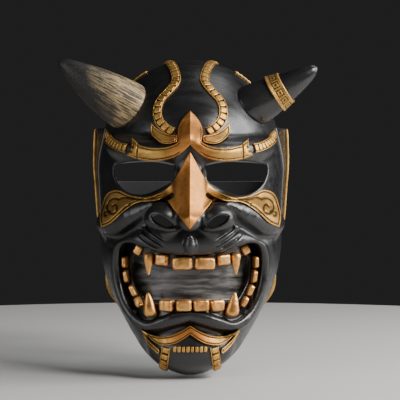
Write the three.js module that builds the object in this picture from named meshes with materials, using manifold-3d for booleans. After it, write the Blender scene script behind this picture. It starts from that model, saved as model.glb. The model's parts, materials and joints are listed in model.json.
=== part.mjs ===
// A horned demon mask of the noh hannya kind: a black resin shell worn in front of the head, with gilt
// trims, separate teeth, two bolted horns, two ears, foam pads and a swinging elastic strap.
// Millimetres, +Z up, the face looks along -Y. The origin is the middle of the opening that the head goes
// into, in the plane of the flat back rim.
import * as THREE from "three";
import { mergeVertices } from "three/addons/utils/BufferGeometryUtils.js";
import Module from "manifold-3d";

const wasm = await Module();
wasm.setup();

// ------------------------------------------ driving dimensions
const GAP = 0.35; // clear space between touching pieces
const WALL = 4.5; // the shell's wall
const TRIM = 2.6; // how far a gilt trim stands off the shell
const CROWN = 56; // height of the skull's centre
const CHIN_TURN = -95; // below this height the grid of the face turns under the chin
const RIM_Y = 0;
const PIVOT = new THREE.Vector3(82, -14, 22); // the strap screw on the +X side
const STRAP = { width: 25, thick: 1.5, inner: 77.1, outer: 81.4, tail: 64 };
const STRAP_LINE = { turnY: 17.4, straightEnd: 66, depth: 38 };
// Radii of the screws and their clearance holes.
const HORN_SCREW = { hole: 2.3, shank: 1.9, head: 4.6 };
const STRAP_SCREW = { hole: 2.4, shank: 1.95, head: 4.4 };
const SIDES = [-1, 1];
const sideName = (s) => (s < 0 ? "left" : "right");

// ------------------------------------------ small maths
const V = (x, y, z) => new THREE.Vector3(x, y, z);
const rad = THREE.MathUtils.degToRad;
const lerp = (a, b, t) => a + (b - a) * t;
const clamp = (v, low, high) => Math.max(low, Math.min(high, v));

function smin(a, b, k) {
  const h = Math.max(k - Math.abs(a - b), 0) / k;
  return Math.min(a, b) - (h * h * k) / 4;
}
const smax = (a, b, k) => -smin(-a, -b, k);

// From one value to the next with the given slopes at the two ends.
function hermite(from, to, leave, arrive, t) {
  const rise = t * t * (3 - 2 * t);
  return lerp(from, to, rise) + leave * t * (1 - t) ** 2 - arrive * t * t * (1 - t);
}

// A smooth run through points; a sharp corner is where two runs meet.
function smoothRun(points, steps = 6) {
  const at = (i) => points[clamp(i, 0, points.length - 1)];
  const out = [];
  for (let i = 0; i < points.length - 1; i++)
    for (let j = 0; j < steps; j++) {
      const t = j / steps;
      const [p0, p1, p2, p3] = [at(i - 1), at(i), at(i + 1), at(i + 2)];
      out.push(
        p1.map((_, c) => {
          const a = (p2[c] - p0[c]) / 2;
          const b = (p3[c] - p1[c]) / 2;
          return hermite(p1[c], p2[c], a, b, t);
        }),
      );
    }
  return out;
}

// A closed outline from runs; mirrored adds the other half of an outline that starts and ends on x = 0.
const outline = (runs, steps = 3) => runs.flatMap((run) => smoothRun(run, steps));
const flip = (points) => points.map(([x, z]) => [-x, z]).reverse();
function mirrored(runs, steps = 3) {
  const half = [...outline(runs, steps), runs.at(-1).at(-1)];
  return [...half, ...flip(half).slice(1, -1)];
}

// Signed distance to a closed 2-D outline, negative inside.
function outlineDistance(points, x, z) {
  let best = Infinity;
  let inside = false;
  for (let i = 0, j = points.length - 1; i < points.length; j = i++) {
    const [ax, az] = points[j];
    const [bx, bz] = points[i];
    const along = ((x - ax) * (bx - ax) + (z - az) * (bz - az)) / ((bx - ax) ** 2 + (bz - az) ** 2);
    const t = clamp(along, 0, 1);
    best = Math.min(best, Math.hypot(x - ax - t * (bx - ax), z - az - t * (bz - az)));
    if (az > z !== bz > z && x < ((bx - ax) * (z - az)) / (bz - az) + ax) inside = !inside;
  }
  return inside ? -best : best;
}

// ------------------------------------------ outlines seen from the front, [x, z]
const MOUTH = mirrored([
  [[0, -33], [14, -32.2], [28, -29.5], [42, -25.5], [53, -22.5], [60.5, -26.5], [63, -38], [61.5, -55],
   [56, -72], [47, -87], [37, -91.5], [27, -88], [14, -83.5], [0, -82]],
]);
const THROAT = mirrored([
  [[0, -45], [16, -44.6], [30, -41.5], [42, -36.5], [49, -34.5], [52.5, -40], [51.5, -54], [46.5, -66],
   [40, -73.5], [26, -74.5], [0, -74]],
]);
const NOSTRIL = outline([
  [[14.7, -6.6], [19, -1.8], [24, 1.6], [29.5, 2.7], [33.4, 1.2]],
  [[33.4, 1.2], [31, -3.2], [25, -6.8], [18.4, -8], [14.7, -6.6]],
]);
const EYE = outline([
  [[13.5, 45.5], [16, 38], [25, 27], [40, 20.5], [54, 21.5], [64.5, 29.5], [69, 40], [68, 47.5]],
  [[68, 47.5], [50, 48.5], [30, 48.3], [13.5, 45.5]],
]);
const BROW_CREST = mirrored([
  [[0, 93.5], [5.4, 88], [9.6, 81], [10.8, 74], [9.6, 66]],
  [[9.6, 66], [14, 62.9], [22, 60.5], [33, 60.2], [44, 62.8]],
  [[44, 62.8], [51.4, 70]],
  [[51.4, 70], [51.4, 63], [52.6, 57.6]],
  [[52.6, 57.6], [55.6, 54.6]],
  [[55.6, 54.6], [45, 50.8], [30, 49], [15, 51.6], [6.5, 56.6], [0, 63]],
]);
const PETAL = outline([
  [[12.6, 71], [21, 73], [28.6, 77.4], [34.6, 83.2]],
  [[34.6, 83.2], [34.2, 73.6], [27, 66], [20, 63.8], [13, 65.4]],
  [[13, 65.4], [12.4, 68], [12.6, 71]],
]);
const NOSE_CHEEK = mirrored([
  [[0, 57], [5, 48.3], [12.4, 35], [20.5, 25.4], [29, 20.6], [40, 17.6], [54, 19.8], [66, 24.4], [77, 20],
   [82, 6], [80, -9]],
  [[80, -9], [70, -5], [58, 5.6], [46, 13], [30, 14.8], [19.4, 19]],
  [[19.4, 19], [15.2, 21.6], [13.4, 19.2], [15.6, 16.8]],
  [[15.6, 16.8], [19.2, 14.6]],
  [[19.2, 14.6], [9.5, 2], [0, -9.6]],
]);
const CHIN_TRIM = mirrored([
  [[0, -94.6], [8, -99.4], [17, -103.2], [28, -104.6], [36, -102.6], [43, -98.2]],
  [[43, -98.2], [37.4, -105.4], [30.6, -110], [23.4, -111.8], [12, -109.4], [0, -102]],
]);
const CHIN_STRIPE = outline([
  [[44.6, -100.6], [40, -109], [34.4, -115], [28.4, -119.6]],
  [[28.4, -119.6], [27.2, -117.4], [28.2, -115]],
  [[28.2, -115], [36.8, -108.8], [44.6, -100.6]],
]);

// ------------------------------------------ the face as a distance field, on one half, x >= 0
function ellipsoid(p, c, r) {
  const [dx, dy, dz] = [p.x - c[0], p.y - c[1], p.z - c[2]];
  const k0 = Math.hypot(dx / r[0], dy / r[1], dz / r[2]);
  const k1 = Math.hypot(dx / r[0] ** 2, dy / r[1] ** 2, dz / r[2] ** 2);
  return (k0 * (k0 - 1)) / Math.max(k1, 1e-9);
}

function taper(p, a, b, ra, rb) {
  const [bx, by, bz] = [b[0] - a[0], b[1] - a[1], b[2] - a[2]];
  const along = (p.x - a[0]) * bx + (p.y - a[1]) * by + (p.z - a[2]) * bz;
  const t = clamp(along / (bx * bx + by * by + bz * bz), 0, 1);
  return Math.hypot(p.x - a[0] - t * bx, p.y - a[1] - t * by, p.z - a[2] - t * bz) - lerp(ra, rb, t);
}

// A chain of tapered rods through [x, y, z, radius] points.
const chain = (p, rods) =>
  Math.min(...rods.slice(1).map((b, i) => taper(p, rods[i], b, rods[i][3], b[3])));

// Half width, front depth and squareness of the face at heights 20 mm apart, from LOFT_BOTTOM up.
const LOFT_BOTTOM = -150;
const LOFT_STEP = 20;
const HALF_WIDTH = [10, 42.5, 54.5, 65, 75, 81.5, 85, 86, 86, 85.5, 85, 84];
const FRONT_DEPTH = [70, 90, 98, 101, 102, 103, 104, 104, 104, 104, 103, 100];
const SQUARENESS = [2.3, 2.35, 2.45, 2.65, 2.8, 2.8, 2.7, 2.5, 2.35, 2.25, 2.2, 2.2];

function ladder(values, z) {
  const f = clamp((z - LOFT_BOTTOM) / LOFT_STEP, 0, values.length - 1.001);
  const i = Math.floor(f);
  const at = (n) => values[clamp(n, 0, values.length - 1)];
  const t = f - i;
  const a = (at(i + 1) - at(i - 1)) / 2;
  const b = (at(i + 2) - at(i)) / 2;
  return hermite(at(i), at(i + 1), a, b, t);
}

function skullAndJaw(p) {
  const n = ladder(SQUARENESS, p.z);
  const [across, forward] = [p.x / ladder(HALF_WIDTH, p.z), Math.abs(p.y) / ladder(FRONT_DEPTH, p.z)];
  const g = (across ** n + forward ** n) ** (1 / n);
  const r = Math.hypot(p.x, p.y);
  let face = r - r / Math.max(g, 1e-3);
  face = smax(face, p.z - 62, 24);
  face = smax(face, -140.5 - p.z, 10);
  return smin(ellipsoid(p, [0, -4, CROWN], [85.5, 101, 92]), face, 14);
}

const BROW = [[0, -107, 65, 9], [15, -107, 58.5, 9.5], [34, -102, 57.5, 10], [54, -88, 60, 9],
  [70, -68, 65, 6.5]];
const NOSE = [[0, -105, 58, 7], [0, -113, 34, 10], [0, -124, 6, 14], [0, -133.5, -1, 10.5]];
// The ridge down the front of the nose, [z, y].
const NOSE_RIDGE = smoothRun([[-16, -137], [-9, -143], [-1, -144.5], [6, -138.6], [20, -131.4],
  [34, -123.6], [58, -112], [58, -112]]);
const NOSE_SLOPE = 0.85; // how far each flank of the nose falls back for each millimetre from that ridge
const WING = { middle: [23, -116, -1.5], radii: [16.5, 16, 13] }; // the bulge round a nostril
const CHEEK = [[32, -104, 9, 8.5], [51, -91, 1, 12.5], [67, -74, -6, 12], [77, -54, -5, 9]];
const LIP = [[0, -113.5, -28, 4.6], [27, -110, -24.6, 4.6], [49, -98, -18.6, 4.6], [61, -89, -21.6, 4.4],
  [66.5, -81.5, -36, 4.2], [65.5, -80, -56, 4.2], [59.5, -84, -75, 4.2], [50, -91, -89, 4.2],
  [38, -98, -97, 4]];
const LOWER_LIP = [[0, -105, -85, 6], [17, -103.5, -88.5, 7.5], [32, -98, -93, 7.5], [45, -91, -90, 5]];

const CHEEK_FOLD = [[35, -115, 8, 2.4], [43, -107, -5, 3], [53, -98, -13, 3.2], [65, -85, -19.5, 2.8],
  [77, -69, -18, 2.2]];
const CHIN_FOLD = [[0, -109, -96, 2.6], [20, -107, -102, 2.8], [38, -99, -102, 2.4]];
const PHILTRUM = [[0, -121, -17, 3.2], [0, -118.6, -23, 4.8], [0, -116.6, -29, 3.4]]; // a knob under the nose

// Positive in front of the two flanks that meet in the ridge of the nose.
function roof(p) {
  const z = clamp(p.z, NOSE_RIDGE[0][0], NOSE_RIDGE.at(-1)[0]);
  const i = clamp(NOSE_RIDGE.findIndex((r) => r[0] >= z), 1, NOSE_RIDGE.length - 1);
  const [[az, ay], [bz, by]] = [NOSE_RIDGE[i - 1], NOSE_RIDGE[i]];
  const ridge = lerp(ay, by, (z - az) / (bz - az));
  return (ridge + NOSE_SLOPE * p.x - p.y) / Math.hypot(1, NOSE_SLOPE);
}

function plainFace(p) {
  let d = skullAndJaw(p);
  d = smin(d, chain(p, BROW), 10);
  d = smin(d, smax(chain(p, NOSE), roof(p), 2.5), 9);
  d = smin(d, chain(p, CHEEK), 10);
  d = smin(d, ellipsoid(p, WING.middle, WING.radii), 5);
  d = smin(d, ellipsoid(p, [0, -92, -20], [57, 28.5, 18]), 9);
  d = smin(d, ellipsoid(p, [0, -81, -117], [37, 26, 21]), 12);
  return d;
}

const GUM_BEND = 0.0092; // how fast the gums turn back to the sides
const gumFront = (x) => -106.5 + GUM_BEND * x * x;
const THROAT_DEPTH = 12; // how far the mouth's floor lies behind the gums

// The recess that shows the teeth, grown by a margin: a dish to the gums, and the throat behind them.
function mouthRecess(p, margin, blend) {
  const front = p.y - gumFront(p.x) - margin;
  const dish = smax(outlineDistance(MOUTH, p.x, p.z) - margin, front, blend);
  const throat = smax(outlineDistance(THROAT, p.x, p.z) - margin, front - THROAT_DEPTH, blend + 1);
  return Math.min(dish, throat);
}

// The whole outside of the face, before eyes and nostrils are cut through.
function face(point) {
  const p = { x: Math.abs(point.x), y: point.y, z: point.z };
  let d = plainFace(p);
  d = smax(d, -ellipsoid(p, [43, -108, 35], [31, 15, 13.5]), 6);
  d = smin(d, chain(p, LIP), 6);
  d = smin(d, chain(p, LOWER_LIP), 6);
  d = smax(d, -chain(p, CHEEK_FOLD), 5);
  d = smax(d, -chain(p, CHIN_FOLD), 5);
  d = smin(d, chain(p, PHILTRUM), 4);
  return smax(d, -mouthRecess(p, 0, 2), 2.5);
}

// The hollow that the head goes into.
function hollow(point) {
  const p = { x: Math.abs(point.x), y: point.y, z: point.z };
  return smax(plainFace(p) + WALL, -mouthRecess(p, WALL, 3), 4);
}

// ------------------------------------------ surfaces and solids
// Where the field reaches a level on the way in along a ray.
function meet(field, level, from, dir, far = 200, step = 2) {
  const at = (t) => field(from.clone().addScaledVector(dir, t)) - level;
  let outer = far;
  while (outer > 0 && at(outer - step) > 0) outer -= step;
  let inner = outer - step;
  for (let i = 0; i < 18; i++) {
    const mid = (inner + outer) / 2;
    if (at(mid) > 0) outer = mid;
    else inner = mid;
  }
  return from.clone().addScaledVector(dir, (inner + outer) / 2);
}

// Rays that fan out over the crown, run level down the face and turn under the chin.
function faceRay(column, row, columns, rows) {
  const u = (column / columns) * 2 - 1;
  const turn = rad(90) * Math.sign(u) * Math.abs(u) ** 1.6;
  const [crown, chin] = [Math.round(rows * 0.24), Math.round(rows * 0.17)];
  const level = rows - crown - chin;
  let tilt = 0;
  const height = lerp(CROWN, CHIN_TURN, clamp((row - crown) / level, 0, 1));
  if (row < crown) tilt = rad(90) * (1 - row / crown);
  if (row > crown + level) tilt = -rad(90) * ((row - crown - level) / chin);
  const spread = 40 * u * Math.cos(tilt) * Math.cos(turn);
  return {
    from: V(spread, RIM_Y, height),
    dir: V(Math.sin(turn) * Math.cos(tilt), -Math.cos(turn) * Math.cos(tilt), Math.sin(tilt)),
  };
}

function solid(geometry) {
  const g = geometry.clone();
  g.deleteAttribute("normal");
  g.deleteAttribute("uv");
  const m = mergeVertices(g, 1e-3);
  const [vertProperties, triVerts] = [m.attributes.position.array, new Uint32Array(m.index.array)];
  return new wasm.Manifold(new wasm.Mesh({ numProp: 3, vertProperties, triVerts }));
}

function geometryOf(manifold) {
  const m = manifold.getMesh();
  const g = new THREE.BufferGeometry();
  g.setAttribute("position", new THREE.BufferAttribute(new Float32Array(m.vertProperties), 3));
  g.setIndex(new THREE.BufferAttribute(new Uint32Array(m.triVerts), 1));
  return g;
}

// Collects points and faces, quads cut along one diagonal.
class Skin {
  points = [];
  faces = [];
  point(p) {
    return this.points.push(p) - 1;
  }
  quad(a, b, c, d) {
    this.faces.push(a, b, c, a, c, d);
  }
  geometry() {
    const g = new THREE.BufferGeometry();
    const numbers = this.points.flatMap((p) => [p.x, p.y, p.z]);
    g.setAttribute("position", new THREE.Float32BufferAttribute(numbers, 3));
    g.setIndex(this.faces);
    const m = mergeVertices(g, 1e-3);
    const kept = [];
    for (let i = 0; i < m.index.count; i += 3) {
      const [a, b, c] = [m.index.getX(i), m.index.getX(i + 1), m.index.getX(i + 2)];
      if (a !== b && b !== c && a !== c) kept.push(a, b, c);
    }
    m.setIndex(kept);
    return m;
  }
  // The solid with its faces turned outwards.
  solid() {
    const made = solid(this.geometry());
    if (made.volume() > 0) return made;
    for (let i = 0; i < this.faces.length; i += 3)
      [this.faces[i], this.faces[i + 1]] = [this.faces[i + 1], this.faces[i]];
    return solid(this.geometry());
  }
}

// The closed body inside a level of the field, with a flat back at the rim plane moved by back.
function fieldBody(field, level, columns, rows, back = 0) {
  const skin = new Skin();
  const rings = [];
  for (let r = 0; r <= rows; r++) {
    const row = [];
    for (let c = 0; c <= columns; c++) {
      const { from, dir } = faceRay(c, r, columns, rows);
      row.push(skin.point(meet(field, level, from, dir)));
    }
    rings.push(row);
  }
  for (let r = 0; r < rows; r++)
    for (let c = 0; c < columns; c++)
      skin.quad(rings[r][c], rings[r + 1][c], rings[r + 1][c + 1], rings[r][c + 1]);
  const edge = [...rings.map((row) => row[columns]), ...rings.map((row) => row[0]).reverse()];
  const behind = edge.map((i) => skin.point(V(skin.points[i].x, back, skin.points[i].z)));
  const hub = skin.point(V(0, back, 0));
  edge.forEach((a, i) => {
    const j = (i + 1) % edge.length;
    if (back > 0) skin.quad(a, edge[j], behind[j], behind[i]);
    skin.faces.push(back > 0 ? behind[i] : a, back > 0 ? behind[j] : edge[j], hub);
  });
  return solid(skin.geometry());
}

// A prism of a front outline, from y = front to y = back.
function prism(points, front = -190, back = -20) {
  const shape = new THREE.Shape(points.map(([x, z]) => new THREE.Vector2(x, z)));
  const g = new THREE.ExtrudeGeometry(shape, { depth: back - front, bevelEnabled: false, steps: 1 });
  g.rotateX(Math.PI / 2);
  g.translate(0, back, 0);
  return solid(g);
}

// A round bar between two points; sides face flat.
function bar(a, b, ra, rb = ra, sides = 16) {
  const g = new THREE.CylinderGeometry(rb, ra, a.distanceTo(b), sides);
  g.applyQuaternion(new THREE.Quaternion().setFromUnitVectors(V(0, 1, 0), b.clone().sub(a).normalize()));
  g.translate((a.x + b.x) / 2, (a.y + b.y) / 2, (a.z + b.z) / 2);
  return solid(g);
}

function block(lo, hi) {
  const g = new THREE.BoxGeometry(hi.x - lo.x, hi.y - lo.y, hi.z - lo.z);
  g.translate((lo.x + hi.x) / 2, (lo.y + hi.y) / 2, (lo.z + hi.z) / 2);
  return solid(g);
}

// Sections of equal corner count joined into a closed bar.
function loft(sections) {
  const skin = new Skin();
  const rings = sections.map((s) => s.map((p) => skin.point(p)));
  for (let i = 0; i + 1 < rings.length; i++)
    rings[i].forEach((a, j) => {
      const k = (j + 1) % rings[i].length;
      skin.quad(a, rings[i][k], rings[i + 1][k], rings[i + 1][j]);
    });
  const [first, last] = [rings[0], rings.at(-1)];
  for (let j = 1; j + 1 < first.length; j++) {
    skin.faces.push(first[0], first[j + 1], first[j]);
    skin.faces.push(last[0], last[j], last[j + 1]);
  }
  return skin.solid();
}

function normalAt(field, p) {
  const e = 0.4;
  const along = (d) => field(p.clone().add(d)) - field(p.clone().sub(d));
  return V(along(V(e, 0, 0)), along(V(0, e, 0)), along(V(0, 0, e))).normalize();
}

const frontOf = (x, z, field = face) => meet(field, 0, V(x, RIM_Y, z), V(0, -1, 0));
const topOf = (x, y) => meet(face, 0, V(x, y, CROWN), V(0, 0, 1));

// A flat bar that lies on the shell along a run of surface points.
function surfaceStrip(points, width, height, lift = GAP) {
  const sections = points.map((p, i) => {
    const [before, after] = [points[Math.max(i - 1, 0)], points[Math.min(i + 1, points.length - 1)]];
    const along = after.clone().sub(before).normalize();
    const up = normalAt(face, p);
    const across = along.clone().cross(up).normalize().multiplyScalar(width / 2);
    const low = p.clone().addScaledVector(up, lift - 1.2);
    const high = p.clone().addScaledVector(up, lift + height);
    const [left, right] = [(q) => q.clone().sub(across), (q) => q.clone().add(across)];
    return [left(low), right(low), right(high), left(high)];
  });
  return loft(sections).subtract(clearFace);
}

// ------------------------------------------ the face body at the levels that pieces need
const COLUMNS = 40;
const ROWS = 44;
const outside = fieldBody(face, 0, COLUMNS, ROWS);
const clearFace = fieldBody(face, GAP, COLUMNS, ROWS);
const trimFace = fieldBody(face, GAP + TRIM, COLUMNS, ROWS);
const inside = fieldBody(hollow, 0, 26, 30, 3);

const biggest = (m) => m.decompose().sort((a, b) => b.volume() - a.volume())[0];
const group = new THREE.Group();
function add(name, body, colour, roughness, metalness) {
  const material = new THREE.MeshStandardMaterial({ color: colour, roughness, metalness });
  const mesh = new THREE.Mesh(geometryOf(body), material);
  mesh.name = name;
  group.add(mesh);
}
const BLACK = [0x17181a, 0.42, 0.1];
const GILT = [0xb98a45, 0.42, 0.85];
const TOOTH = [0xc98f52, 0.4, 0.7];
const STEEL = [0x8c8c8c, 0.35, 1.0];
const FOAM = [0x1b1b1c, 0.95, 0.0];
const WEBBING = [0x141415, 0.9, 0.0];
const PLASTIC = [0x111112, 0.5, 0.0];

// ------------------------------------------ horns: bases, axes and radii
// Each horn is [base centre, tip, radii from base to tip].
const LEFT_RADII = [23, 21.8, 19.8, 17, 13.4, 9.2, 3];
const RIGHT_RADII = [20, 18.4, 16.2, 13.4, 10.8, 7.8, 3.2];
const HORNS = [
  { side: -1, base: V(-57.5, -56, 101), tip: V(-118.5, -70, 140.5), radii: LEFT_RADII },
  { side: 1, base: V(58, -56, 102), tip: V(114.5, -69, 135), radii: RIGHT_RADII },
];
const HORN_ROOT = 16; // how deep the horn's line starts under the scalp
const HORN_SINK = 24; // how far the horn screw reaches into the horn

const hornAxis = (h) => h.tip.clone().sub(h.base).normalize();

// Rings of a horn along its line, bent a little upwards towards the tip.
function hornBody(h, sides = 20) {
  const axis = hornAxis(h);
  const across = axis.clone().cross(V(0, 0, 1)).normalize();
  const lift = across.clone().cross(axis).normalize();
  const length = h.tip.distanceTo(h.base);
  const ring = (t, radius) =>
    Array.from({ length: sides }, (_, i) => {
      const a = (i / sides) * 2 * Math.PI;
      const bow = 4 * (t * t - t);
      return h.base.clone().addScaledVector(axis, t * length).addScaledVector(lift, bow)
        .addScaledVector(across, radius * Math.cos(a)).addScaledVector(lift, radius * Math.sin(a));
    });
  const rings = h.radii.map((r, i) => ring(i / (h.radii.length - 1), r));
  return loft([ring(-HORN_ROOT / length, h.radii[0] + 2), ...rings]);
}

// The screw runs along the horn's axis, from a point inside the hollow.
function hornScrew(h) {
  const axis = hornAxis(h);
  const wall = meet(hollow, 0, h.base.clone().addScaledVector(axis, -80), axis, 120);
  return { axis, wall };
}

// ------------------------------------------ shell
function neckCut() {
  const points = smoothRun([[2, -38], [-6, -62], [-20, -88], [-40, -112], [-62, -128], [-72, -150]], 4);
  const corners = [...points, [20, -165], [20, -38]];
  const shape = new THREE.Shape(corners.map(([y, z]) => new THREE.Vector2(y, z)));
  const g = new THREE.ExtrudeGeometry(shape, { depth: 220, bevelEnabled: false, steps: 1 });
  g.applyMatrix4(new THREE.Matrix4().makeBasis(V(0, 1, 0), V(0, 0, 1), V(1, 0, 0)));
  g.translate(-110, 0, 0);
  return solid(g);
}

let shell = outside.subtract(inside).subtract(neckCut());
for (const s of SIDES) {
  for (const hole of [EYE, NOSTRIL]) shell = shell.subtract(prism(s > 0 ? hole : flip(hole)));
  const [inner, outer] = [60, PIVOT.x + 2.2].map((x) => V(s * x, PIVOT.y, PIVOT.z));
  shell = shell.subtract(bar(inner, outer, STRAP_SCREW.hole));
}
for (const h of HORNS) {
  const { axis, wall } = hornScrew(h);
  const [a, b] = [wall.clone().addScaledVector(axis, -20), wall.clone().addScaledVector(axis, 20)];
  shell = shell.subtract(bar(a, b, HORN_SCREW.hole));
}
add("face_shell", biggest(shell), ...BLACK);

// ------------------------------------------ gilt trims
const layer = trimFace.subtract(clearFace);
const trimOf = (points) => biggest(layer.intersect(prism(points)));
add("brow_crest", trimOf(BROW_CREST), ...GILT);
add("nose_and_cheek_trim", trimOf(NOSE_CHEEK), ...GILT);
add("chin_trim", trimOf(CHIN_TRIM), ...GILT);
for (const s of SIDES) {
  add(`${sideName(s)}_crest_petal`, trimOf(s > 0 ? PETAL : flip(PETAL)), ...GILT);
  add(`${sideName(s)}_chin_stripe`, trimOf(s > 0 ? CHIN_STRIPE : flip(CHIN_STRIPE)), ...GILT);
}

// Segmented strips: front points are [x, z], top points are [x, y].
const FOREHEAD_SPINE = {
  front: [[14.5, 74.5], [20, 77.2], [26.6, 84], [29, 93], [26.6, 103], [18.8, 112.5], [13, 121], [13.6, 130]],
  top: [[18.5, -34], [21, -22], [22, -9]],
};
const BROW_SPINE = { front: [[55.8, 60.6], [64, 63], [72.6, 68.6], [77.8, 76.4]], top: [] };

function spinePoints(spec, side, steps) {
  const front = spec.front.map(([x, z]) => frontOf(side * x, z));
  const top = spec.top.map(([x, y]) => topOf(side * x, y));
  return smoothRun([...front, ...top].map((p) => p.toArray()), steps)
    .concat([[...front, ...top].at(-1).toArray()])
    .map((p) => V(...p));
}
for (const s of SIDES) {
  add(`${sideName(s)}_forehead_spine`, surfaceStrip(spinePoints(FOREHEAD_SPINE, s, 3), 7.4, 2.2), ...GILT);
  add(`${sideName(s)}_brow_spine`, surfaceStrip(spinePoints(BROW_SPINE, s, 3), 6.6, 2), ...GILT);
}

// A strip over the crown just in front of the rim, and a barb on the jaw's side.
const CROWN_STRIP = [[41, -20], [47, -18.5], [53, -17.5], [59, -17]];
const JAW_BARB = [[-40, -54], [-33, -64], [-27, -74], [-25, -82]]; // [y, z] on the side of the jaw
const sideOf = (side, y, z) => meet(face, 0, V(0, y, z), V(side, 0, 0));
for (const s of SIDES) {
  const over = CROWN_STRIP.map(([x, y]) => topOf(s * x, y));
  add(`${sideName(s)}_crown_strip`, surfaceStrip(over, 6, 2.2), ...GILT);
  const barb = JAW_BARB.map(([y, z]) => sideOf(s, y, z));
  add(`${sideName(s)}_jaw_barb`, surfaceStrip(barb, 5, 2.6), ...GILT);
}

// Two ringed bars hang from the chin trim, with a comb of short bars between them.
const CHIN_BAR = [[20.4, -113.4], [21.4, -119.5], [22.4, -125], [23.2, -130.5], [23.6, -135]];
for (const s of SIDES) {
  const down = CHIN_BAR.map(([x, z]) => frontOf(s * x, z));
  add(`${sideName(s)}_chin_bar`, surfaceStrip(down, 7.4, 3), ...GILT);
}
const comb = [];
for (let x = -15; x <= 15; x += 3) comb.push(frontOf(x, -115));
add("chin_comb", surfaceStrip(comb, 6, 2), ...GILT);

// ------------------------------------------ teeth
// name, x, z of the middle, width, height, stand-off, lean in degrees, and the drift of its row towards +X.
const UPPER_DRIFT = 3.4;
const LOWER_DRIFT = 2.4;
const SIDE_DRIFT = 3.4; // the two lowest teeth at the sides, nearer the chin
const BLUNT = [
  ["upper_inner_incisor", 9.8, -39.9, 18, 11.6, 5.4, -2, UPPER_DRIFT],
  ["upper_outer_incisor", 26.3, -37, 12.4, 10.2, 5.2, 4, UPPER_DRIFT],
  ["upper_molar", 47.2, -28.9, 7.6, 9, 4.6, 28, UPPER_DRIFT],
  ["lower_inner_incisor", 7.4, -76.6, 13.8, 10.6, 5.4, 0, LOWER_DRIFT],
  ["lower_outer_incisor", 21.9, -76.8, 12.8, 10.8, 5.4, 2, LOWER_DRIFT],
  ["side_molar_1", 57.6, -40, 5.6, 10.4, 11, 2, 0],
  ["side_molar_2", 56.4, -52.8, 5.8, 11.4, 9.5, -8, 0],
  ["side_molar_3", 51.6, -65, 6, 10.4, 8, -24, SIDE_DRIFT],
  ["side_molar_4", 46, -75, 5.8, 10, 7, -32, SIDE_DRIFT],
];
// name, x, root z, point z, radius, stand-off, how far the point leans out, and the drift of its row.
const FANGS = [
  ["upper_fang", 38.4, -30.2, -50.6, 4.5, 6.4, 0, UPPER_DRIFT],
  ["lower_fang", 35.2, -88, -65.6, 6.3, 7.4, 3, LOWER_DRIFT],
];
const DRIFT_FADE = 24; // the drift lessens by 1 mm for each 24 mm from the middle
const SIDE_TURN = 0.3; // the teeth at the sides face almost straight ahead
const SIDE_START = 45;
const ROOT = 4; // how deep a blunt tooth starts behind the gum
// The outline of a blunt tooth as parts of its half width and half height.
const TOOTH_CORNERS = [[1, 0.6], [0.78, 1], [-0.78, 1], [-1, 0.6], [-1, -0.6], [-0.78, -1], [0.78, -1],
  [1, -0.6]];
// How far along a fang and how thick, from its root.
const FANG_RADII = [[0, 0.62], [0.12, 0.95], [0.3, 1], [0.65, 0.6], [0.9, 0.22], [1, 0.06]];

function bluntTooth(x, z, width, height, stand, lean) {
  const slope = Math.atan(2 * GUM_BEND * x) * (Math.abs(x) > SIDE_START ? SIDE_TURN : 1);
  const ring = (depth, size) =>
    TOOTH_CORNERS.map(([a, b]) => {
      const corner = V((a * size * width) / 2, depth, (b * size * height) / 2);
      corner.applyAxisAngle(V(0, 1, 0), -rad(lean)).applyAxisAngle(V(0, 0, 1), slope);
      return corner.add(V(x, gumFront(x), z));
    });
  return loft([ring(ROOT, 0.94), ring(-stand * 0.45, 1), ring(-stand, 0.78)]);
}

function fang(x, root, point, radius, stand, out) {
  const corners = 10;
  return loft(FANG_RADII.map(([t, size]) => {
    const centre = V(x + out * t, gumFront(x) - stand * 0.42 - 1.6 * t, lerp(root, point, t));
    return Array.from({ length: corners }, (_, i) => {
      const a = (i / corners) * 2 * Math.PI;
      return centre.clone().add(V(radius * size * Math.cos(a), radius * size * 0.85 * Math.sin(a), 0));
    });
  }));
}

const drifted = (side, x, drift) => side * x + (drift ? drift - x / DRIFT_FADE : 0);
for (const s of SIDES) {
  for (const [name, x, z, w, h, stand, lean, drift] of BLUNT) {
    const tooth = bluntTooth(drifted(s, x, drift), z, w, h, stand, s * lean);
    add(`${sideName(s)}_${name}`, biggest(tooth.subtract(clearFace)), ...TOOTH);
  }
  for (const [name, x, root, point, radius, stand, out, drift] of FANGS) {
    const tooth = fang(drifted(s, x, drift), root, point, radius, stand, s * out);
    add(`${sideName(s)}_${name}`, biggest(tooth.subtract(clearFace)), ...TOOTH);
  }
}

// ------------------------------------------ horns, ring and horn screws
const RING = { from: 0.315, to: 0.5, wall: 1.7 };
for (const h of HORNS) {
  const { axis, wall } = hornScrew(h);
  const name = sideName(h.side);
  const [mouth, end] = [wall.clone(), wall.clone().addScaledVector(axis, WALL + HORN_SINK + 2)];
  const horn = hornBody(h).subtract(clearFace).subtract(bar(mouth, end, HORN_SCREW.hole));
  add(`${name}_horn`, biggest(horn), ...BLACK);
  const at = (d) => wall.clone().addScaledVector(axis, d);
  const head = bar(at(-5.6), at(-2.8), HORN_SCREW.head);
  const shank = bar(at(-4), at(WALL + HORN_SINK), HORN_SCREW.shank);
  add(`${name}_horn_screw`, head.add(shank), ...STEEL);
}

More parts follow.
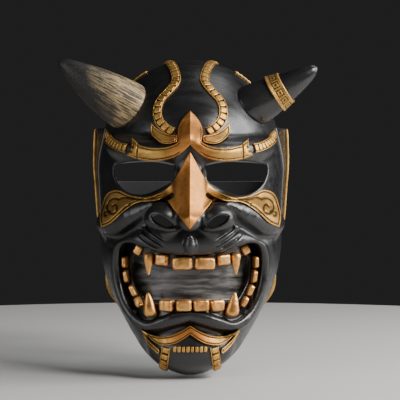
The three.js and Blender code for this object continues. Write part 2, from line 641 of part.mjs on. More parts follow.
function hornRing(h) {
  const axis = hornAxis(h);
  const length = h.tip.distanceTo(h.base);
  const [a, b] = [RING.from, RING.to].map((t) => h.base.clone().addScaledVector(axis, t * length));
  const across = axis.clone().cross(V(0, 0, 1)).normalize();
  const lift = across.clone().cross(axis).normalize();
  const sag = (t) => 4 * (t * t - t);
  const shift = (p, t) => p.clone().addScaledVector(lift, sag(t));
  const at = (t) => {
    const f = t * (h.radii.length - 1);
    return lerp(h.radii[Math.floor(f)], h.radii[Math.floor(f) + 1], f % 1);
  };
  const [wide, narrow] = [at(RING.from) + RING.wall, at(RING.to) + RING.wall];
  const outer = bar(shift(a, RING.from), shift(b, RING.to), wide, narrow, 24);
  const grown = { ...h, radii: h.radii.map((r) => r + GAP + 0.25) };
  return outer.subtract(hornBody(grown, 20));
}
add("right_horn_ring", biggest(hornRing(HORNS[1])), ...GILT);

// ------------------------------------------ ears
// The ear is a thin flared plate. Its front edge lies on the shell, and its back edge stands off and
// carries the rim. Points are [x, z] of the back edge's outer face.
const EAR_EDGE = [[85.6, -13], [87.6, 2], [89.4, 27], [91, 51], [90.2, 83]];
const EAR = { back: -5, front: -31, thick: 2, rimWide: 2.1, rimDeep: 4.4 };
const earEdge = smoothRun(EAR_EDGE, 3).concat([EAR_EDGE.at(-1)]);

function earPlate(side) {
  const sections = earEdge.map(([x, z]) => {
    const root = Math.abs(meet(face, 0, V(0, EAR.front, z), V(side, 0, 0)).x);
    const middle = [lerp(root, x, 0.35) + 1, lerp(EAR.front, EAR.back, 0.5)];
    const outer = [[root + 1.6, EAR.front], middle, [x, EAR.back]];
    const inner = outer.map(([u, y]) => [u - EAR.thick, y + 0.4]).reverse();
    return [...outer, ...inner].map(([u, y]) => V(side * u, y, z));
  });
  return loft(sections);
}

function earRim(side) {
  const [x0, x1] = [GAP, GAP + EAR.rimWide];
  return loft(earEdge.map(([x, z]) => {
    const [y0, y1] = [EAR.back - 1.2, EAR.back - 1.2 + EAR.rimDeep];
    return [[x + x0, y0], [x + x1, y0], [x + x1, y1], [x + x0, y1]].map(([u, y]) => V(side * u, y, z));
  }));
}
for (const s of SIDES) {
  add(`${sideName(s)}_ear`, biggest(earPlate(s).subtract(clearFace)), ...BLACK);
  add(`${sideName(s)}_ear_rim`, biggest(earRim(s).subtract(clearFace)), ...GILT);
}

// ------------------------------------------ foam pads on the inside
const PAD = { gap: 1, thick: 8 };

// A block between two layers of a grid of points on the inner wall.
function pad(grid) {
  const skin = new Skin();
  const layer = (depth) =>
    grid.map((row) => row.map((p) => skin.point(p.clone().addScaledVector(normalAt(hollow, p), -depth))));
  const [near, far] = [layer(PAD.gap), layer(PAD.gap + PAD.thick)];
  const [lastRow, last] = [grid.length - 1, grid[0].length - 1];
  for (let r = 0; r < lastRow; r++) {
    for (let c = 0; c < last; c++) {
      skin.quad(near[r][c], near[r + 1][c], near[r + 1][c + 1], near[r][c + 1]);
      skin.quad(far[r][c], far[r][c + 1], far[r + 1][c + 1], far[r + 1][c]);
    }
    skin.quad(near[r][0], far[r][0], far[r + 1][0], near[r + 1][0]);
    skin.quad(near[r + 1][last], far[r + 1][last], far[r][last], near[r][last]);
  }
  for (let c = 0; c < last; c++) {
    skin.quad(near[0][c + 1], far[0][c + 1], far[0][c], near[0][c]);
    skin.quad(near[lastRow][c], far[lastRow][c], far[lastRow][c + 1], near[lastRow][c + 1]);
  }
  return skin.solid();
}
const steps = (a, b, n) => Array.from({ length: n + 1 }, (_, i) => lerp(a, b, i / n));
const foreheadGrid = steps(78, 106, 4).map((z) => steps(-36, 36, 8).map((x) => frontOf(x, z, hollow)));
add("forehead_pad", pad(foreheadGrid), ...FOAM);
for (const s of SIDES) {
  const inward = (y, z) => meet(hollow, 0, V(0, y, z), V(s, 0, 0));
  const cheekGrid = steps(-52, -20, 4).map((z) => steps(-58, -28, 4).map((y) => inward(y, z)));
  add(`${sideName(s)}_cheek_pad`, pad(cheekGrid), ...FOAM);
}

// ------------------------------------------ strap, its tabs, screws and sliders
const TAB = { inner: 78.4, thick: 2, back: 22, half: 15.5, nose: 9 };
const TAB_SLOT = { front: 13.2, back: 17.9, half: 13.2 };

function strapTab(side) {
  const [x0, x1] = [TAB.inner, TAB.inner + TAB.thick].map((x) => side * x).sort((a, b) => a - b);
  const plate = block(V(x0, 3, PIVOT.z - TAB.half), V(x1, TAB.back, PIVOT.z + TAB.half));
  const nose = bar(V(x0, PIVOT.y, PIVOT.z), V(x1, PIVOT.y, PIVOT.z), TAB.nose, TAB.nose, 24);
  const web = block(V(x0, PIVOT.y, PIVOT.z - TAB.nose), V(x1, 4, PIVOT.z + TAB.nose));
  const [slotLow, slotHigh] = [PIVOT.z - TAB_SLOT.half, PIVOT.z + TAB_SLOT.half];
  const slot = block(V(x0 - 5, TAB_SLOT.front, slotLow), V(x1 + 5, TAB_SLOT.back, slotHigh));
  const hole = bar(V(side * 60, PIVOT.y, PIVOT.z), V(side * 110, PIVOT.y, PIVOT.z), STRAP_SCREW.hole);
  return nose.add(web).add(plate).subtract(slot).subtract(hole);
}

// A short screw from inside holds each tab; its hole in the shell is blind.
function strapScrew(side) {
  const at = (x) => V(side * x, PIVOT.y, PIVOT.z);
  const shank = bar(at(TAB.inner - 1.2), at(PIVOT.x + 1.6), STRAP_SCREW.shank);
  return shank.add(bar(at(TAB.inner - 1.9), at(TAB.inner - GAP), STRAP_SCREW.head));
}

// The band in plan: a folded tail, round the tab's back bar, straight back, and round behind the head.
function strapLine() {
  const [middle, turn] = [(STRAP.outer + STRAP.inner) / 2, (STRAP.outer - STRAP.inner) / 2];
  const line = [[STRAP.outer, STRAP.tail]];
  for (let a = 0; a <= 180; a += 30)
    line.push([middle + turn * Math.cos(rad(a)), STRAP_LINE.turnY - turn * Math.sin(rad(a))]);
  line.push([STRAP.inner, STRAP_LINE.straightEnd]);
  const behind = [];
  const { straightEnd, depth } = STRAP_LINE;
  for (let a = 10; a <= 90; a += 10)
    behind.push([STRAP.inner * Math.cos(rad(a)), straightEnd + depth * Math.sin(rad(a))]);
  const half = [...line, ...behind];
  return [...half, ...half.slice(0, -1).reverse().map(([x, y]) => [-x, y])];
}

function backStrap() {
  const line = strapLine();
  const [low, high] = [PIVOT.z - STRAP.width / 2, PIVOT.z + STRAP.width / 2];
  return loft(line.map(([x, y], i) => {
    const [ax, ay] = line[Math.max(0, i - 1)];
    const [bx, by] = line[Math.min(line.length - 1, i + 1)];
    const n = V(by - ay, ax - bx, 0).normalize().multiplyScalar(STRAP.thick / 2);
    const corner = (sign, z) => V(x + sign * n.x, y + sign * n.y, z);
    return [corner(1, low), corner(1, high), corner(-1, high), corner(-1, low)];
  }));
}

const SLIDER = { y: 42, length: 9, half: 16.4, wall: 1.7, slotHalf: 13.1, slotWide: 1.25 };
function slider(side) {
  const order = (a, b) => (side > 0 ? [a, b] : [-b, -a]);
  const [y0, y1] = [SLIDER.y - SLIDER.length / 2, SLIDER.y + SLIDER.length / 2];
  const [o0, o1] = order(STRAP.inner - 1.3 - SLIDER.wall, STRAP.outer + 1.3 + SLIDER.wall);
  let body = block(V(o0, y0, PIVOT.z - SLIDER.half), V(o1, y1, PIVOT.z + SLIDER.half));
  for (const x of [STRAP.inner, STRAP.outer]) {
    const [s0, s1] = order(x - SLIDER.slotWide, x + SLIDER.slotWide);
    const [low, high] = [PIVOT.z - SLIDER.slotHalf, PIVOT.z + SLIDER.slotHalf];
    body = body.subtract(block(V(s0, y0 - 5, low), V(s1, y1 + 5, high)));
  }
  return body;
}
add("back_strap", backStrap(), ...WEBBING);
for (const s of SIDES) {
  add(`${sideName(s)}_strap_tab`, strapTab(s), ...PLASTIC);
  add(`${sideName(s)}_strap_screw`, strapScrew(s), ...STEEL);
  add(`${sideName(s)}_strap_slider`, slider(s), ...PLASTIC);
}

export default group;
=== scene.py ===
"""The fine surface and the materials of a horned demon mask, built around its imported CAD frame.

Lengths are millimetres in the frame's axes, and become metres when a mesh is made. +Z is up, and the face
looks along -Y. The sculpted face is one distance field, negative inside. The gilt trims, the shell and the
pieces that lie on it all read that field, so that they fit each other.
"""

import json
import math

import bpy
import numpy as np
import openvdb
from mathutils import Matrix, Vector, noise

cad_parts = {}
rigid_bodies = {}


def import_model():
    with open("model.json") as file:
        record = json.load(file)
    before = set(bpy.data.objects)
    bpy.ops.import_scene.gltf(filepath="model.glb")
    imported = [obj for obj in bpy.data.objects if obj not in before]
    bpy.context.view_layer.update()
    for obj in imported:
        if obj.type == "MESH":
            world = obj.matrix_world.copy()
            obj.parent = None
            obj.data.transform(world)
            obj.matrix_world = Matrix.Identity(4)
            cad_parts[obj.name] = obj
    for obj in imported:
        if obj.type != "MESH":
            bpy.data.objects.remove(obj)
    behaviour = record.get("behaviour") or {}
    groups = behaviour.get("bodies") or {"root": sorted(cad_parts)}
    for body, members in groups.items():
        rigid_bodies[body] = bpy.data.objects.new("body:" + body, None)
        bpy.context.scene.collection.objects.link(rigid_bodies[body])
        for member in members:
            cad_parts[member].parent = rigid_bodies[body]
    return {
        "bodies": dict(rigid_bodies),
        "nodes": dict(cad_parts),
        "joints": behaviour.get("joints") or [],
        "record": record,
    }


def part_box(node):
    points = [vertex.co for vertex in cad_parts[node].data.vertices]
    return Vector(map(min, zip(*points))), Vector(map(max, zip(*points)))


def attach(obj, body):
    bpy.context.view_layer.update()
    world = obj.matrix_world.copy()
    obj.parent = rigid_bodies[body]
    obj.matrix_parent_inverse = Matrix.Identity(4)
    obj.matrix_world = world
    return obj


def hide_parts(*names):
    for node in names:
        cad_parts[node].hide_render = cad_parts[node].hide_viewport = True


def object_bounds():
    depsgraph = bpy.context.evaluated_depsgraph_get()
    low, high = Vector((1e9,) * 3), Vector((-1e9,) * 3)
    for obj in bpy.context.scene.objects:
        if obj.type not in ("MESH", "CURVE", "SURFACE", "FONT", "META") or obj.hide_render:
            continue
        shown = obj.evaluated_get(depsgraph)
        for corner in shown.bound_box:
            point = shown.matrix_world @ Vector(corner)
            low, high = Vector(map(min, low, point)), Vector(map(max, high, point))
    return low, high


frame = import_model()
cad_bounds = [list(corner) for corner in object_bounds()]

MM = 0.001
SIDES = {"left": -1, "right": 1}

# The spacing of the grids that the pieces are carved from.
SHELL_STEP = 0.8
TRIM_STEP = 0.45
HORN_STEP = 0.6
SCREW_STEP = 0.3
TAB_STEP = 0.35
SLIDER_STEP = 0.4


# ---------------------------------------- camera and stage
CAMERA_FROM_RIM = 1200  # distance from the camera to the plane of the back rim
CAMERA_X = 8.6
CAMERA_Z = 15.3
FOCAL_MM = 112.9
SENSOR_MM = 36
LIGHTS = {  # place and target in metres, size, power and colour
    "key": ((1.05, -0.85, 0.75), (0, -0.08, 0), (0.6, 0.6), 30, (1, 0.98, 0.95)),
    "fill": ((-1.1, -0.9, 0.3), (0, -0.05, 0), (0.9, 0.9), 6.5, (0.94, 0.97, 1)),
    "top": ((0.5, 0.25, 1.25), (0, -0.05, 0), (0.8, 0.5), 3, (1, 1, 1)),
    "side": ((1.15, -0.12, 0.4), (0, -0.06, 0.02), (0.5, 0.9), 17, (0.97, 0.98, 1)),
}
WORLD_COLOUR = (0.018, 0.018, 0.0185, 1)
FLOOR_COLOUR = (0.62, 0.61, 0.59)
FLOOR_RADIUS = 0.75  # in metres, as is the gap under the object
FLOOR_GAP = 0.004


def make_camera():
    camera = bpy.data.objects.new("camera", bpy.data.cameras.new("camera"))
    bpy.context.scene.collection.objects.link(camera)
    camera.location = Vector((CAMERA_X, -CAMERA_FROM_RIM, CAMERA_Z)) * MM
    camera.rotation_euler = (math.radians(90), 0, 0)
    camera.data.lens = FOCAL_MM
    camera.data.sensor_width = SENSOR_MM
    camera.data.clip_start = 0.05
    camera.data.clip_end = 50
    bpy.context.scene.camera = camera


def area_light(name, spot, target, size, power, colour):
    light = bpy.data.lights.new(name, "AREA")
    light.shape = "RECTANGLE"
    light.size, light.size_y = size
    light.energy = power
    light.color = colour
    holder = bpy.data.objects.new(name, light)
    bpy.context.scene.collection.objects.link(holder)
    holder.location = spot
    holder.rotation_euler = (Vector(target) - Vector(spot)).to_track_quat("-Z", "Y").to_euler()


def make_stage():
    for name, numbers in LIGHTS.items():
        area_light(name, *numbers)
    world = bpy.data.worlds.new("studio")
    bpy.context.scene.world = world
    world.use_nodes = True
    background = world.node_tree.nodes["Background"]
    background.inputs["Color"].default_value = WORLD_COLOUR
    background.inputs["Strength"].default_value = 1.0
    bpy.ops.mesh.primitive_circle_add(vertices=96, radius=FLOOR_RADIUS, fill_type="NGON")
    floor = bpy.context.object
    floor.name = "floor"
    floor.location = (0, 0, cad_bounds[0][2] - FLOOR_GAP)
    floor.data.materials.append(plain_material("floor_pale", FLOOR_COLOUR, 0.7))


# ---------------------------------------- materials
def plain_material(name, colour, roughness):
    material = bpy.data.materials.new(name)
    material.use_nodes = True
    shader = material.node_tree.nodes["Principled BSDF"]
    shader.inputs["Base Color"].default_value = (*colour, 1)
    shader.inputs["Roughness"].default_value = roughness
    return material


class Paint:
    """A material whose nodes are added one by one; every texture reads object coordinates, in metres."""

    def __init__(self, name, metallic=0.0, specular=0.5):
        self.material = bpy.data.materials.new(name)
        self.material.use_nodes = True
        self.tree = self.material.node_tree
        self.shader = self.tree.nodes["Principled BSDF"]
        self.shader.inputs["Metallic"].default_value = metallic
        self.shader.inputs["Specular IOR Level"].default_value = specular
        self.coordinates = self.tree.nodes.new("ShaderNodeTexCoord").outputs["Object"]

    def node(self, kind, **settings):
        made = self.tree.nodes.new(kind)
        for key, value in settings.items():
            setattr(made, key, value)
        return made

    def feed(self, socket, value):
        if hasattr(value, "is_linked"):
            self.tree.links.new(value, socket)
        else:
            socket.default_value = value

    def noise(self, scale, detail=4.0, roughness=0.55, stretch=(1, 1, 1), distortion=0.0):
        """Noise with so many features to a metre, drawn out by stretch."""
        mapping = self.node("ShaderNodeMapping")
        mapping.inputs["Scale"].default_value = stretch
        self.feed(mapping.inputs["Vector"], self.coordinates)
        made = self.node("ShaderNodeTexNoise")
        for key, value in (("Scale", scale), ("Detail", detail), ("Roughness", roughness),
                           ("Distortion", distortion), ("Vector", mapping.outputs["Vector"])):
            self.feed(made.inputs[key], value)
        return made.outputs["Fac"]

    def ramp(self, value, stops):
        """A colour ramp from (place, colour or grey) stops."""
        made = self.node("ShaderNodeValToRGB")
        elements = made.color_ramp.elements
        while len(elements) < len(stops):
            elements.new(0.5)
        for element, (place, colour) in zip(elements, stops):
            element.position = place
            element.color = (*colour, 1) if isinstance(colour, tuple) else (colour, colour, colour, 1)
        self.feed(made.inputs["Fac"], value)
        return made.outputs["Color"]

    def mix(self, factor, a, b, blend="MIX"):
        made = self.node("ShaderNodeMix", data_type="RGBA", blend_type=blend)
        for key, value in ((0, factor), (6, a), (7, b)):
            colour = isinstance(value, tuple) and len(value) == 3
            self.feed(made.inputs[key], (*value, 1) if colour else value)
        return made.outputs[2]

    def times(self, a, b):
        made = self.node("ShaderNodeMath", operation="MULTIPLY")
        self.feed(made.inputs[0], a)
        self.feed(made.inputs[1], b)
        return made.outputs[0]

    def attribute(self, name):
        return self.node("ShaderNodeAttribute", attribute_name=name).outputs["Fac"]

    def pointiness(self, low, high):
        geometry = self.node("ShaderNodeNewGeometry")
        return self.ramp(geometry.outputs["Pointiness"], [(low, 0.0), (high, 1.0)])

    def bump(self, heights):
        """Bumps from (height socket, depth in millimetres) pairs, one over the other."""
        normal = None
        for height, depth in heights:
            made = self.node("ShaderNodeBump")
            made.inputs["Strength"].default_value = 1.0
            made.inputs["Distance"].default_value = depth * MM
            self.feed(made.inputs["Height"], height)
            if normal is not None:
                self.feed(made.inputs["Normal"], normal)
            normal = made.outputs["Normal"]
        self.feed(self.shader.inputs["Normal"], normal)

    def finish(self, colour, roughness):
        self.feed(self.shader.inputs["Base Color"], colour)
        self.feed(self.shader.inputs["Roughness"], roughness)
        return self.material


def black_paint():
    """Satin black brushed over resin; the floor attribute is 1 where grey was dragged across the mouth."""
    paint = Paint("black_resin", specular=0.7)
    cloud = paint.noise(38, detail=5)
    fine = paint.noise(420, detail=3)
    strokes = paint.noise(150, detail=5, stretch=(0.16, 1, 1))
    drag = paint.noise(210, detail=6, roughness=0.62, stretch=(0.11, 0.3, 1), distortion=0.25)
    base = paint.ramp(cloud, [(0.3, (0.0055, 0.0055, 0.0057)), (0.7, (0.013, 0.0131, 0.0135))])
    # Convex edges are lighter grey: partly grey dry-brushing worn onto them, partly a painted sheen.
    worn_edges_and_sheen = paint.mix(paint.pointiness(0.52, 0.60), base, (0.055, 0.053, 0.050))
    grey = paint.times(paint.attribute("floor"), paint.ramp(drag, [(0.38, 0.0), (0.66, 1.0)]))
    colour = paint.mix(grey, worn_edges_and_sheen, (0.17, 0.16, 0.15))
    paint.bump([(cloud, 0.3), (strokes, 0.16), (fine, 0.04)])
    return paint.finish(colour, paint.ramp(strokes, [(0.3, 0.25), (0.7, 0.42)]))


def horn_paint():
    """Black with old gold dragged lengthwise, strongest near the root, where the root attribute is 1. The
    attribute also favours the upper front, so the extra gold and browner ground there are partly a painted
    highlight.
    """
    paint = Paint("dragged_horn", specular=0.5)
    streaks = paint.attribute("streak")
    root = paint.attribute("root")
    fine = paint.noise(600, detail=3)
    patches = paint.noise(48, detail=4)
    # The gold cover follows the root attribute, so on the upper front it is partly a painted highlight.
    covered = paint.times(paint.ramp(streaks, [(0.36, 0.0), (0.62, 1.0)]),
                          paint.ramp(root, [(0.34, 0.0), (0.74, 1.0)]))
    covered = paint.times(covered, paint.ramp(patches, [(0.30, 0.35), (0.55, 1.0)]))
    gold = paint.mix(fine, (0.30, 0.20, 0.08), (0.66, 0.50, 0.27))
    # Browner ground near the root and, as a painted highlight, towards the upper front.
    brown = paint.ramp(root, [(0.45, 0.0), (0.95, 1.0)])
    ground = paint.mix(brown, (0.014, 0.012, 0.011), (0.075, 0.055, 0.034))
    colour = paint.mix(covered, ground, gold)
    paint.feed(paint.shader.inputs["Metallic"], paint.ramp(covered, [(0.2, 0.0), (0.9, 0.35)]))
    paint.bump([(streaks, 0.3), (fine, 0.04)])
    return paint.finish(colour, paint.ramp(fine, [(0.3, 0.38), (0.7, 0.55)]))


def gilt_paint(name, bright, deep, copper, rough):
    """Hand-rubbed gold paint.

    The wash attribute is 1 where dark glaze has stayed in a seam, and redden where the gold is coppery."""
    paint = Paint(name, metallic=0.85, specular=0.4)
    cloud = paint.noise(70, detail=5, roughness=0.6)
    brush = paint.noise(330, detail=4, stretch=(0.35, 1, 1))
    grain = paint.noise(1400, detail=2)
    gold = paint.ramp(cloud, [(0.28, deep), (0.50, bright), (0.78, tuple(min(1, 1.2 * c) for c in bright))])
    gold = paint.mix(paint.ramp(brush, [(0.38, 0.0), (0.78, 0.4)]), gold, deep)
    coppery = paint.mix(cloud, tuple(0.55 * c for c in copper), copper)
    gold = paint.mix(paint.attribute("redden"), gold, coppery)
    glazed = paint.mix(paint.attribute("wash"), gold, (0.012, 0.008, 0.005))
    edges = paint.mix(paint.pointiness(0.43, 0.485), (0.035, 0.02, 0.009), glazed)
    paint.bump([(brush, 0.10), (grain, 0.03), (cloud, 0.2)])
    return paint.finish(edges, paint.ramp(brush, [(0.3, rough[0]), (0.7, rough[1])]))


def steel_paint():
    paint = Paint("zinc_steel", metallic=1.0)
    cloud = paint.noise(500, detail=4)
    paint.bump([(cloud, 0.02)])
    return paint.finish(paint.ramp(cloud, [(0.3, (0.36, 0.36, 0.35)), (0.7, (0.58, 0.57, 0.55))]),
                        paint.ramp(cloud, [(0.3, 0.28), (0.7, 0.42)]))


def plastic_paint():
    paint = Paint("moulded_black", specular=0.5)
    grain = paint.noise(2200, detail=2)
    cloud = paint.noise(60, detail=3)
    paint.bump([(grain, 0.03)])
    return paint.finish(paint.ramp(cloud, [(0.3, (0.012, 0.012, 0.013)), (0.7, (0.020, 0.020, 0.021))]),
                        paint.ramp(grain, [(0.3, 0.38), (0.7, 0.5)]))


def foam_paint():
    """Brushed knit cloth over foam."""
    paint = Paint("foam_cloth", specular=0.2)
    knit = paint.node("ShaderNodeTexWave", wave_type="BANDS", bands_direction="DIAGONAL")
    paint.feed(knit.inputs["Vector"], paint.coordinates)
    knit.inputs["Scale"].default_value = 320
    knit.inputs["Distortion"].default_value = 2.5
    knit.inputs["Detail"].default_value = 2
    fuzz = paint.noise(1500, detail=3)
    paint.shader.inputs["Sheen Weight"].default_value = 0.4
    paint.bump([(knit.outputs["Fac"], 0.12), (fuzz, 0.10)])
    return paint.finish(paint.ramp(fuzz, [(0.3, (0.03, 0.03, 0.033)), (0.7, (0.075, 0.075, 0.082))]), 0.95)


def webbing_paint():
    """Woven elastic; the rib attribute is 1 on the ridge of a cord and 0 between cords, where the colour is a
    painted sheen on the ridges and a painted shade between them.
    """
    paint = Paint("elastic_webbing", specular=0.25)
    fuzz = paint.noise(1800, detail=3)
    rib = paint.attribute("rib")
    # Painted sheen on the cords' ridges and painted shade in the gaps between them.
    colour = paint.mix(rib, (0.007, 0.007, 0.008), (0.030, 0.030, 0.032))
    paint.shader.inputs["Sheen Weight"].default_value = 0.3
    paint.bump([(fuzz, 0.08)])
    return paint.finish(colour, paint.ramp(fuzz, [(0.3, 0.75), (0.7, 0.95)]))


# ---------------------------------------- small maths
def lerp(a, b, t):
    return a + (b - a) * t


def smin(a, b, k):
    h = np.maximum(k - np.abs(a - b), 0) / k
    return np.minimum(a, b) - h * h * k / 4


def smax(a, b, k):
    return -smin(-a, -b, k)


def groove(distance, width):
    """1 along a line and 0 away from it."""
    return np.exp(-((distance / width) ** 2))


def unit(vector):
    return vector / np.linalg.norm(vector)


def smoothstep(low, high, value):
    t = np.clip((value - low) / (high - low), 0, 1)
    return t * t * (3 - 2 * t)


def hermite(p0, p1, p2, p3, t):
    """The curve through p1 and p2 that leaves along p0-p2 and arrives along p1-p3."""
    a, b = (p2 - p0) / 2, (p3 - p1) / 2
    return ((2 * t**3 - 3 * t**2 + 1) * p1 + (t**3 - 2 * t**2 + t) * a
            + (-2 * t**3 + 3 * t**2) * p2 + (t**3 - t**2) * b)


def smooth_run(points, steps=6, close_end=False):
    points = np.array(points, float)
    ends = lambda i: points[min(max(i, 0), len(points) - 1)]
    out = [hermite(ends(i - 1), ends(i), ends(i + 1), ends(i + 2), j / steps)
           for i in range(len(points) - 1) for j in range(steps)]
    return np.array(out + ([points[-1]] if close_end else []))


def outline(runs, steps=8):
    """A closed outline from smooth runs that meet in corners."""
    return np.concatenate([smooth_run(run, steps) for run in runs])


def mirrored(runs, steps=8):
    """The whole of an outline whose right half is given from x = 0 to x = 0."""
    half = np.concatenate([outline(runs, steps), [runs[-1][-1]]])
    return np.concatenate([half, (half * [-1, 1])[::-1][1:-1]])


def cell(value, low, step, size):
    """The grid cell that a coordinate lies in, and how far across that cell it is."""
    place = np.clip((value - low) / step, 0, size - 1.001)
    index = place.astype(int)
    return index, place - index


def between(read, i, k, u, w):
    """The value at u and w across the cell (i, k) of a flat grid."""
    return ((1 - u) * ((1 - w) * read(i, k) + w * read(i, k + 1))
            + u * ((1 - w) * read(i + 1, k) + w * read(i + 1, k + 1)))


class Map:
    """Values on a flat grid of (x, z), read between its points."""

    def __init__(self, low, step, values):
        self.low, self.step, self.values = low, step, values

    def __call__(self, x, z):
        i, u = cell(x, self.low[0], self.step, self.values.shape[0])
        k, w = cell(z, self.low[1], self.step, self.values.shape[1])
        return between(lambda a, b: self.values[a, b], i, k, u, w)


class Flat(Map):
    """Signed distance to a closed front outline, kept on a fine grid."""

    STEP = 0.4
    MARGIN = 14

    def __init__(self, points):
        low = points.min(0) - self.MARGIN
        size = np.ceil((points.max(0) + self.MARGIN - low) / self.STEP).astype(int) + 1
        x = (low[0] + np.arange(size[0]) * self.STEP)[:, None]
        z = (low[1] + np.arange(size[1]) * self.STEP)[None, :]
        best = np.full(size, 1e9)
        inside = np.zeros(size, bool)
        for (ax, az), (bx, bz) in zip(np.roll(points, 1, 0), points):
            along = max((bx - ax) ** 2 + (bz - az) ** 2, 1e-12)
            t = np.clip(((x - ax) * (bx - ax) + (z - az) * (bz - az)) / along, 0, 1)
            best = np.minimum(best, (x - ax - t * (bx - ax)) ** 2 + (z - az - t * (bz - az)) ** 2)
            if az != bz:
                inside ^= ((az > z) != (bz > z)) & (x < (bx - ax) * (z - az) / (bz - az) + ax)
        super().__init__(low, self.STEP, np.where(inside, -1, 1) * np.sqrt(best))


def trace(x, z, runs):
    """Distance to the nearest of several flat runs of points."""
    best = np.full(np.shape(x), 1e9)
    for run in runs:
        for (ax, az), (bx, bz) in zip(run[:-1], run[1:]):
            length = math.hypot(bx - ax, bz - az)
            t = np.clip(((x - ax) * (bx - ax) + (z - az) * (bz - az)) / max(length**2, 1e-12), 0, 1)
            best = np.minimum(best, np.hypot(x - ax - t * (bx - ax), z - az - t * (bz - az)))
    return best


# ---------------------------------------- solids as fields
def ellipsoid(p, centre, radii):
    d = [(c - m) for c, m in zip(p, centre)]
    k0 = np.sqrt(sum((c / r) ** 2 for c, r in zip(d, radii)))
    k1 = np.sqrt(sum((c / r**2) ** 2 for c, r in zip(d, radii)))
    return k0 * (k0 - 1) / np.maximum(k1, 1e-9)


def rod(p, a, b):
    """A round rod between two (x, y, z, radius) points."""
    along = [b[i] - a[i] for i in range(3)]
    d = [p[i] - a[i] for i in range(3)]
    t = np.clip(sum(d[i] * along[i] for i in range(3)) / sum(c * c for c in along), 0, 1)
    return np.sqrt(sum((d[i] - t * along[i]) ** 2 for i in range(3))) - lerp(a[3], b[3], t)


def chain(p, rods):
    best = rod(p, rods[0], rods[1])
    for a, b in zip(rods[1:-1], rods[2:]):
        best = np.minimum(best, rod(p, a, b))
    return best


def smooth_chain(rods, steps=4):
    return [tuple(r) for r in smooth_run(rods, steps, close_end=True)]


# ---------------------------------------- the sculpted face
CROWN = 56  # the height of the cranium's middle
WALL = 4.5
# The lower face is a loft of superellipses: half width, depth and power from the bottom up.
LOFT_BOTTOM = -150
LOFT_STEP = 20
HALF_WIDTH = np.array([10, 42.5, 54.5, 65, 75, 81.5, 85, 86, 86, 85.5, 85, 84])
FRONT_DEPTH = np.array([70, 90, 98, 101, 102, 103, 104, 104, 104, 104, 103, 100])
SQUARENESS = np.array([2.3, 2.35, 2.45, 2.65, 2.8, 2.8, 2.7, 2.5, 2.35, 2.25, 2.2, 2.2])

MOUTH = Flat(mirrored([
    [[0, -33], [14, -32.2], [28, -29.5], [42, -25.5], [53, -22.5], [60.5, -26.5], [63, -38], [61.5, -55],
     [56, -72], [47, -87], [37, -91.5], [27, -88], [14, -83.5], [0, -82]],
]))
THROAT = Flat(mirrored([
    [[0, -45], [16, -44.6], [30, -41.5], [42, -36.5], [49, -34.5], [52.5, -40], [51.5, -54], [46.5, -66],
     [40, -73.5], [26, -74.5], [0, -74]],
]))
EYE = Flat(outline([
    [[13.5, 45.5], [16, 38], [25, 27], [40, 20.5], [54, 21.5], [64.5, 29.5], [69, 40], [68, 47.5]],
    [[68, 47.5], [50, 48.5], [30, 48.3], [13.5, 45.5]],
]))
NOSTRIL = Flat(outline([
    [[14.7, -6.6], [19, -1.8], [24, 1.6], [29.5, 2.7], [33.4, 1.2]],
    [[33.4, 1.2], [31, -3.2], [25, -6.8], [18.4, -8], [14.7, -6.6]],
]))
THROAT_DEPTH = 12  # how far the throat lies behind the gums

# Round masses: the middle and the half sizes of each.
CRANIUM = ((0, -4, CROWN), (85.5, 101, 92))
WING = ((23, -116, 0), (17, 17.4, 13.6))
MUZZLE = ((0, -92, -20), (57, 28.5, 18))
CHIN = ((0, -81, -117), (37, 26, 21))
EYE_SOCKET = ((43, -108, 35), (31, 15, 13.5))

# Rods, as runs of (x, y, z, radius).
BROW = smooth_chain([[0, -107, 65, 9], [15, -107, 58.5, 9.5], [34, -102, 57.5, 10], [54, -88, 60, 9],
                     [70, -68, 65, 6.5]])
NOSE = [[0, -105, 58, 7], [0, -113, 34, 10], [0, -124, 6, 14], [0, -133.5, -1, 10.5]]
CHEEK = smooth_chain([[32, -104, 9, 8.5], [51, -91, 1, 12.5], [67, -74, -6, 12], [77, -54, -5, 9]])
LIP = smooth_chain([[0, -113.5, -28, 4.6], [27, -110, -24.6, 4.6], [49, -98, -18.6, 4.6],
                    [61, -89, -21.6, 4.4], [66.5, -81.5, -36, 4.2], [65.5, -80, -56, 4.2],
                    [59.5, -84, -75, 4.2], [50, -91, -89, 4.2], [38, -98, -97, 4]])
LOWER_LIP = smooth_chain([[0, -105, -85, 6], [17, -103.5, -88.5, 7.5], [32, -98, -93, 7.5],
                          [45, -91, -90, 5]])
CHEEK_FOLD = smooth_chain([[35, -115, 8, 2.4], [43, -107, -5, 3], [53, -98, -13, 3.2], [65, -85, -19.5, 2.8],
                           [77, -69, -18, 2.2]])
CHIN_FOLD = smooth_chain([[0, -109, -96, 2.6], [20, -107, -102, 2.8], [38, -99, -102, 2.4]])
NOSE_RIDGE = smooth_run([[-16, -137], [-9, -143], [-1, -144.5], [6, -138.6], [20, -131.4], [34, -123.6],
                        [58, -112]], 6, True)  # z and y of its front edge
NOSE_SLOPE = 0.85  # how far each flank of the nose falls back for each millimetre from that edge
NOSTRIL_RIM = smooth_chain([[13, -128, -9.4, 1.6], [19, -130, -9.6, 2], [26, -128, -8.2, 2],
                            [32.5, -122, -4, 1.8], [35.4, -116, 1.5, 1.4]])
PHILTRUM = [[0, -123.5, -17.5, 3.4], [0, -121.2, -23.5, 5.5], [0, -118.4, -29.5, 3.8]]
WRINKLES = [smooth_run(run, 6, True) for run in (
    [(43.6, -9.4), (38, -14.6), (31, -19.6), (22, -24.6)],
    [(46.6, -13), (41.6, -18), (35.6, -22), (28, -26)],
    [(38, -8.6), (33, -12.6), (26.6, -16.6), (19.6, -20)],
)]


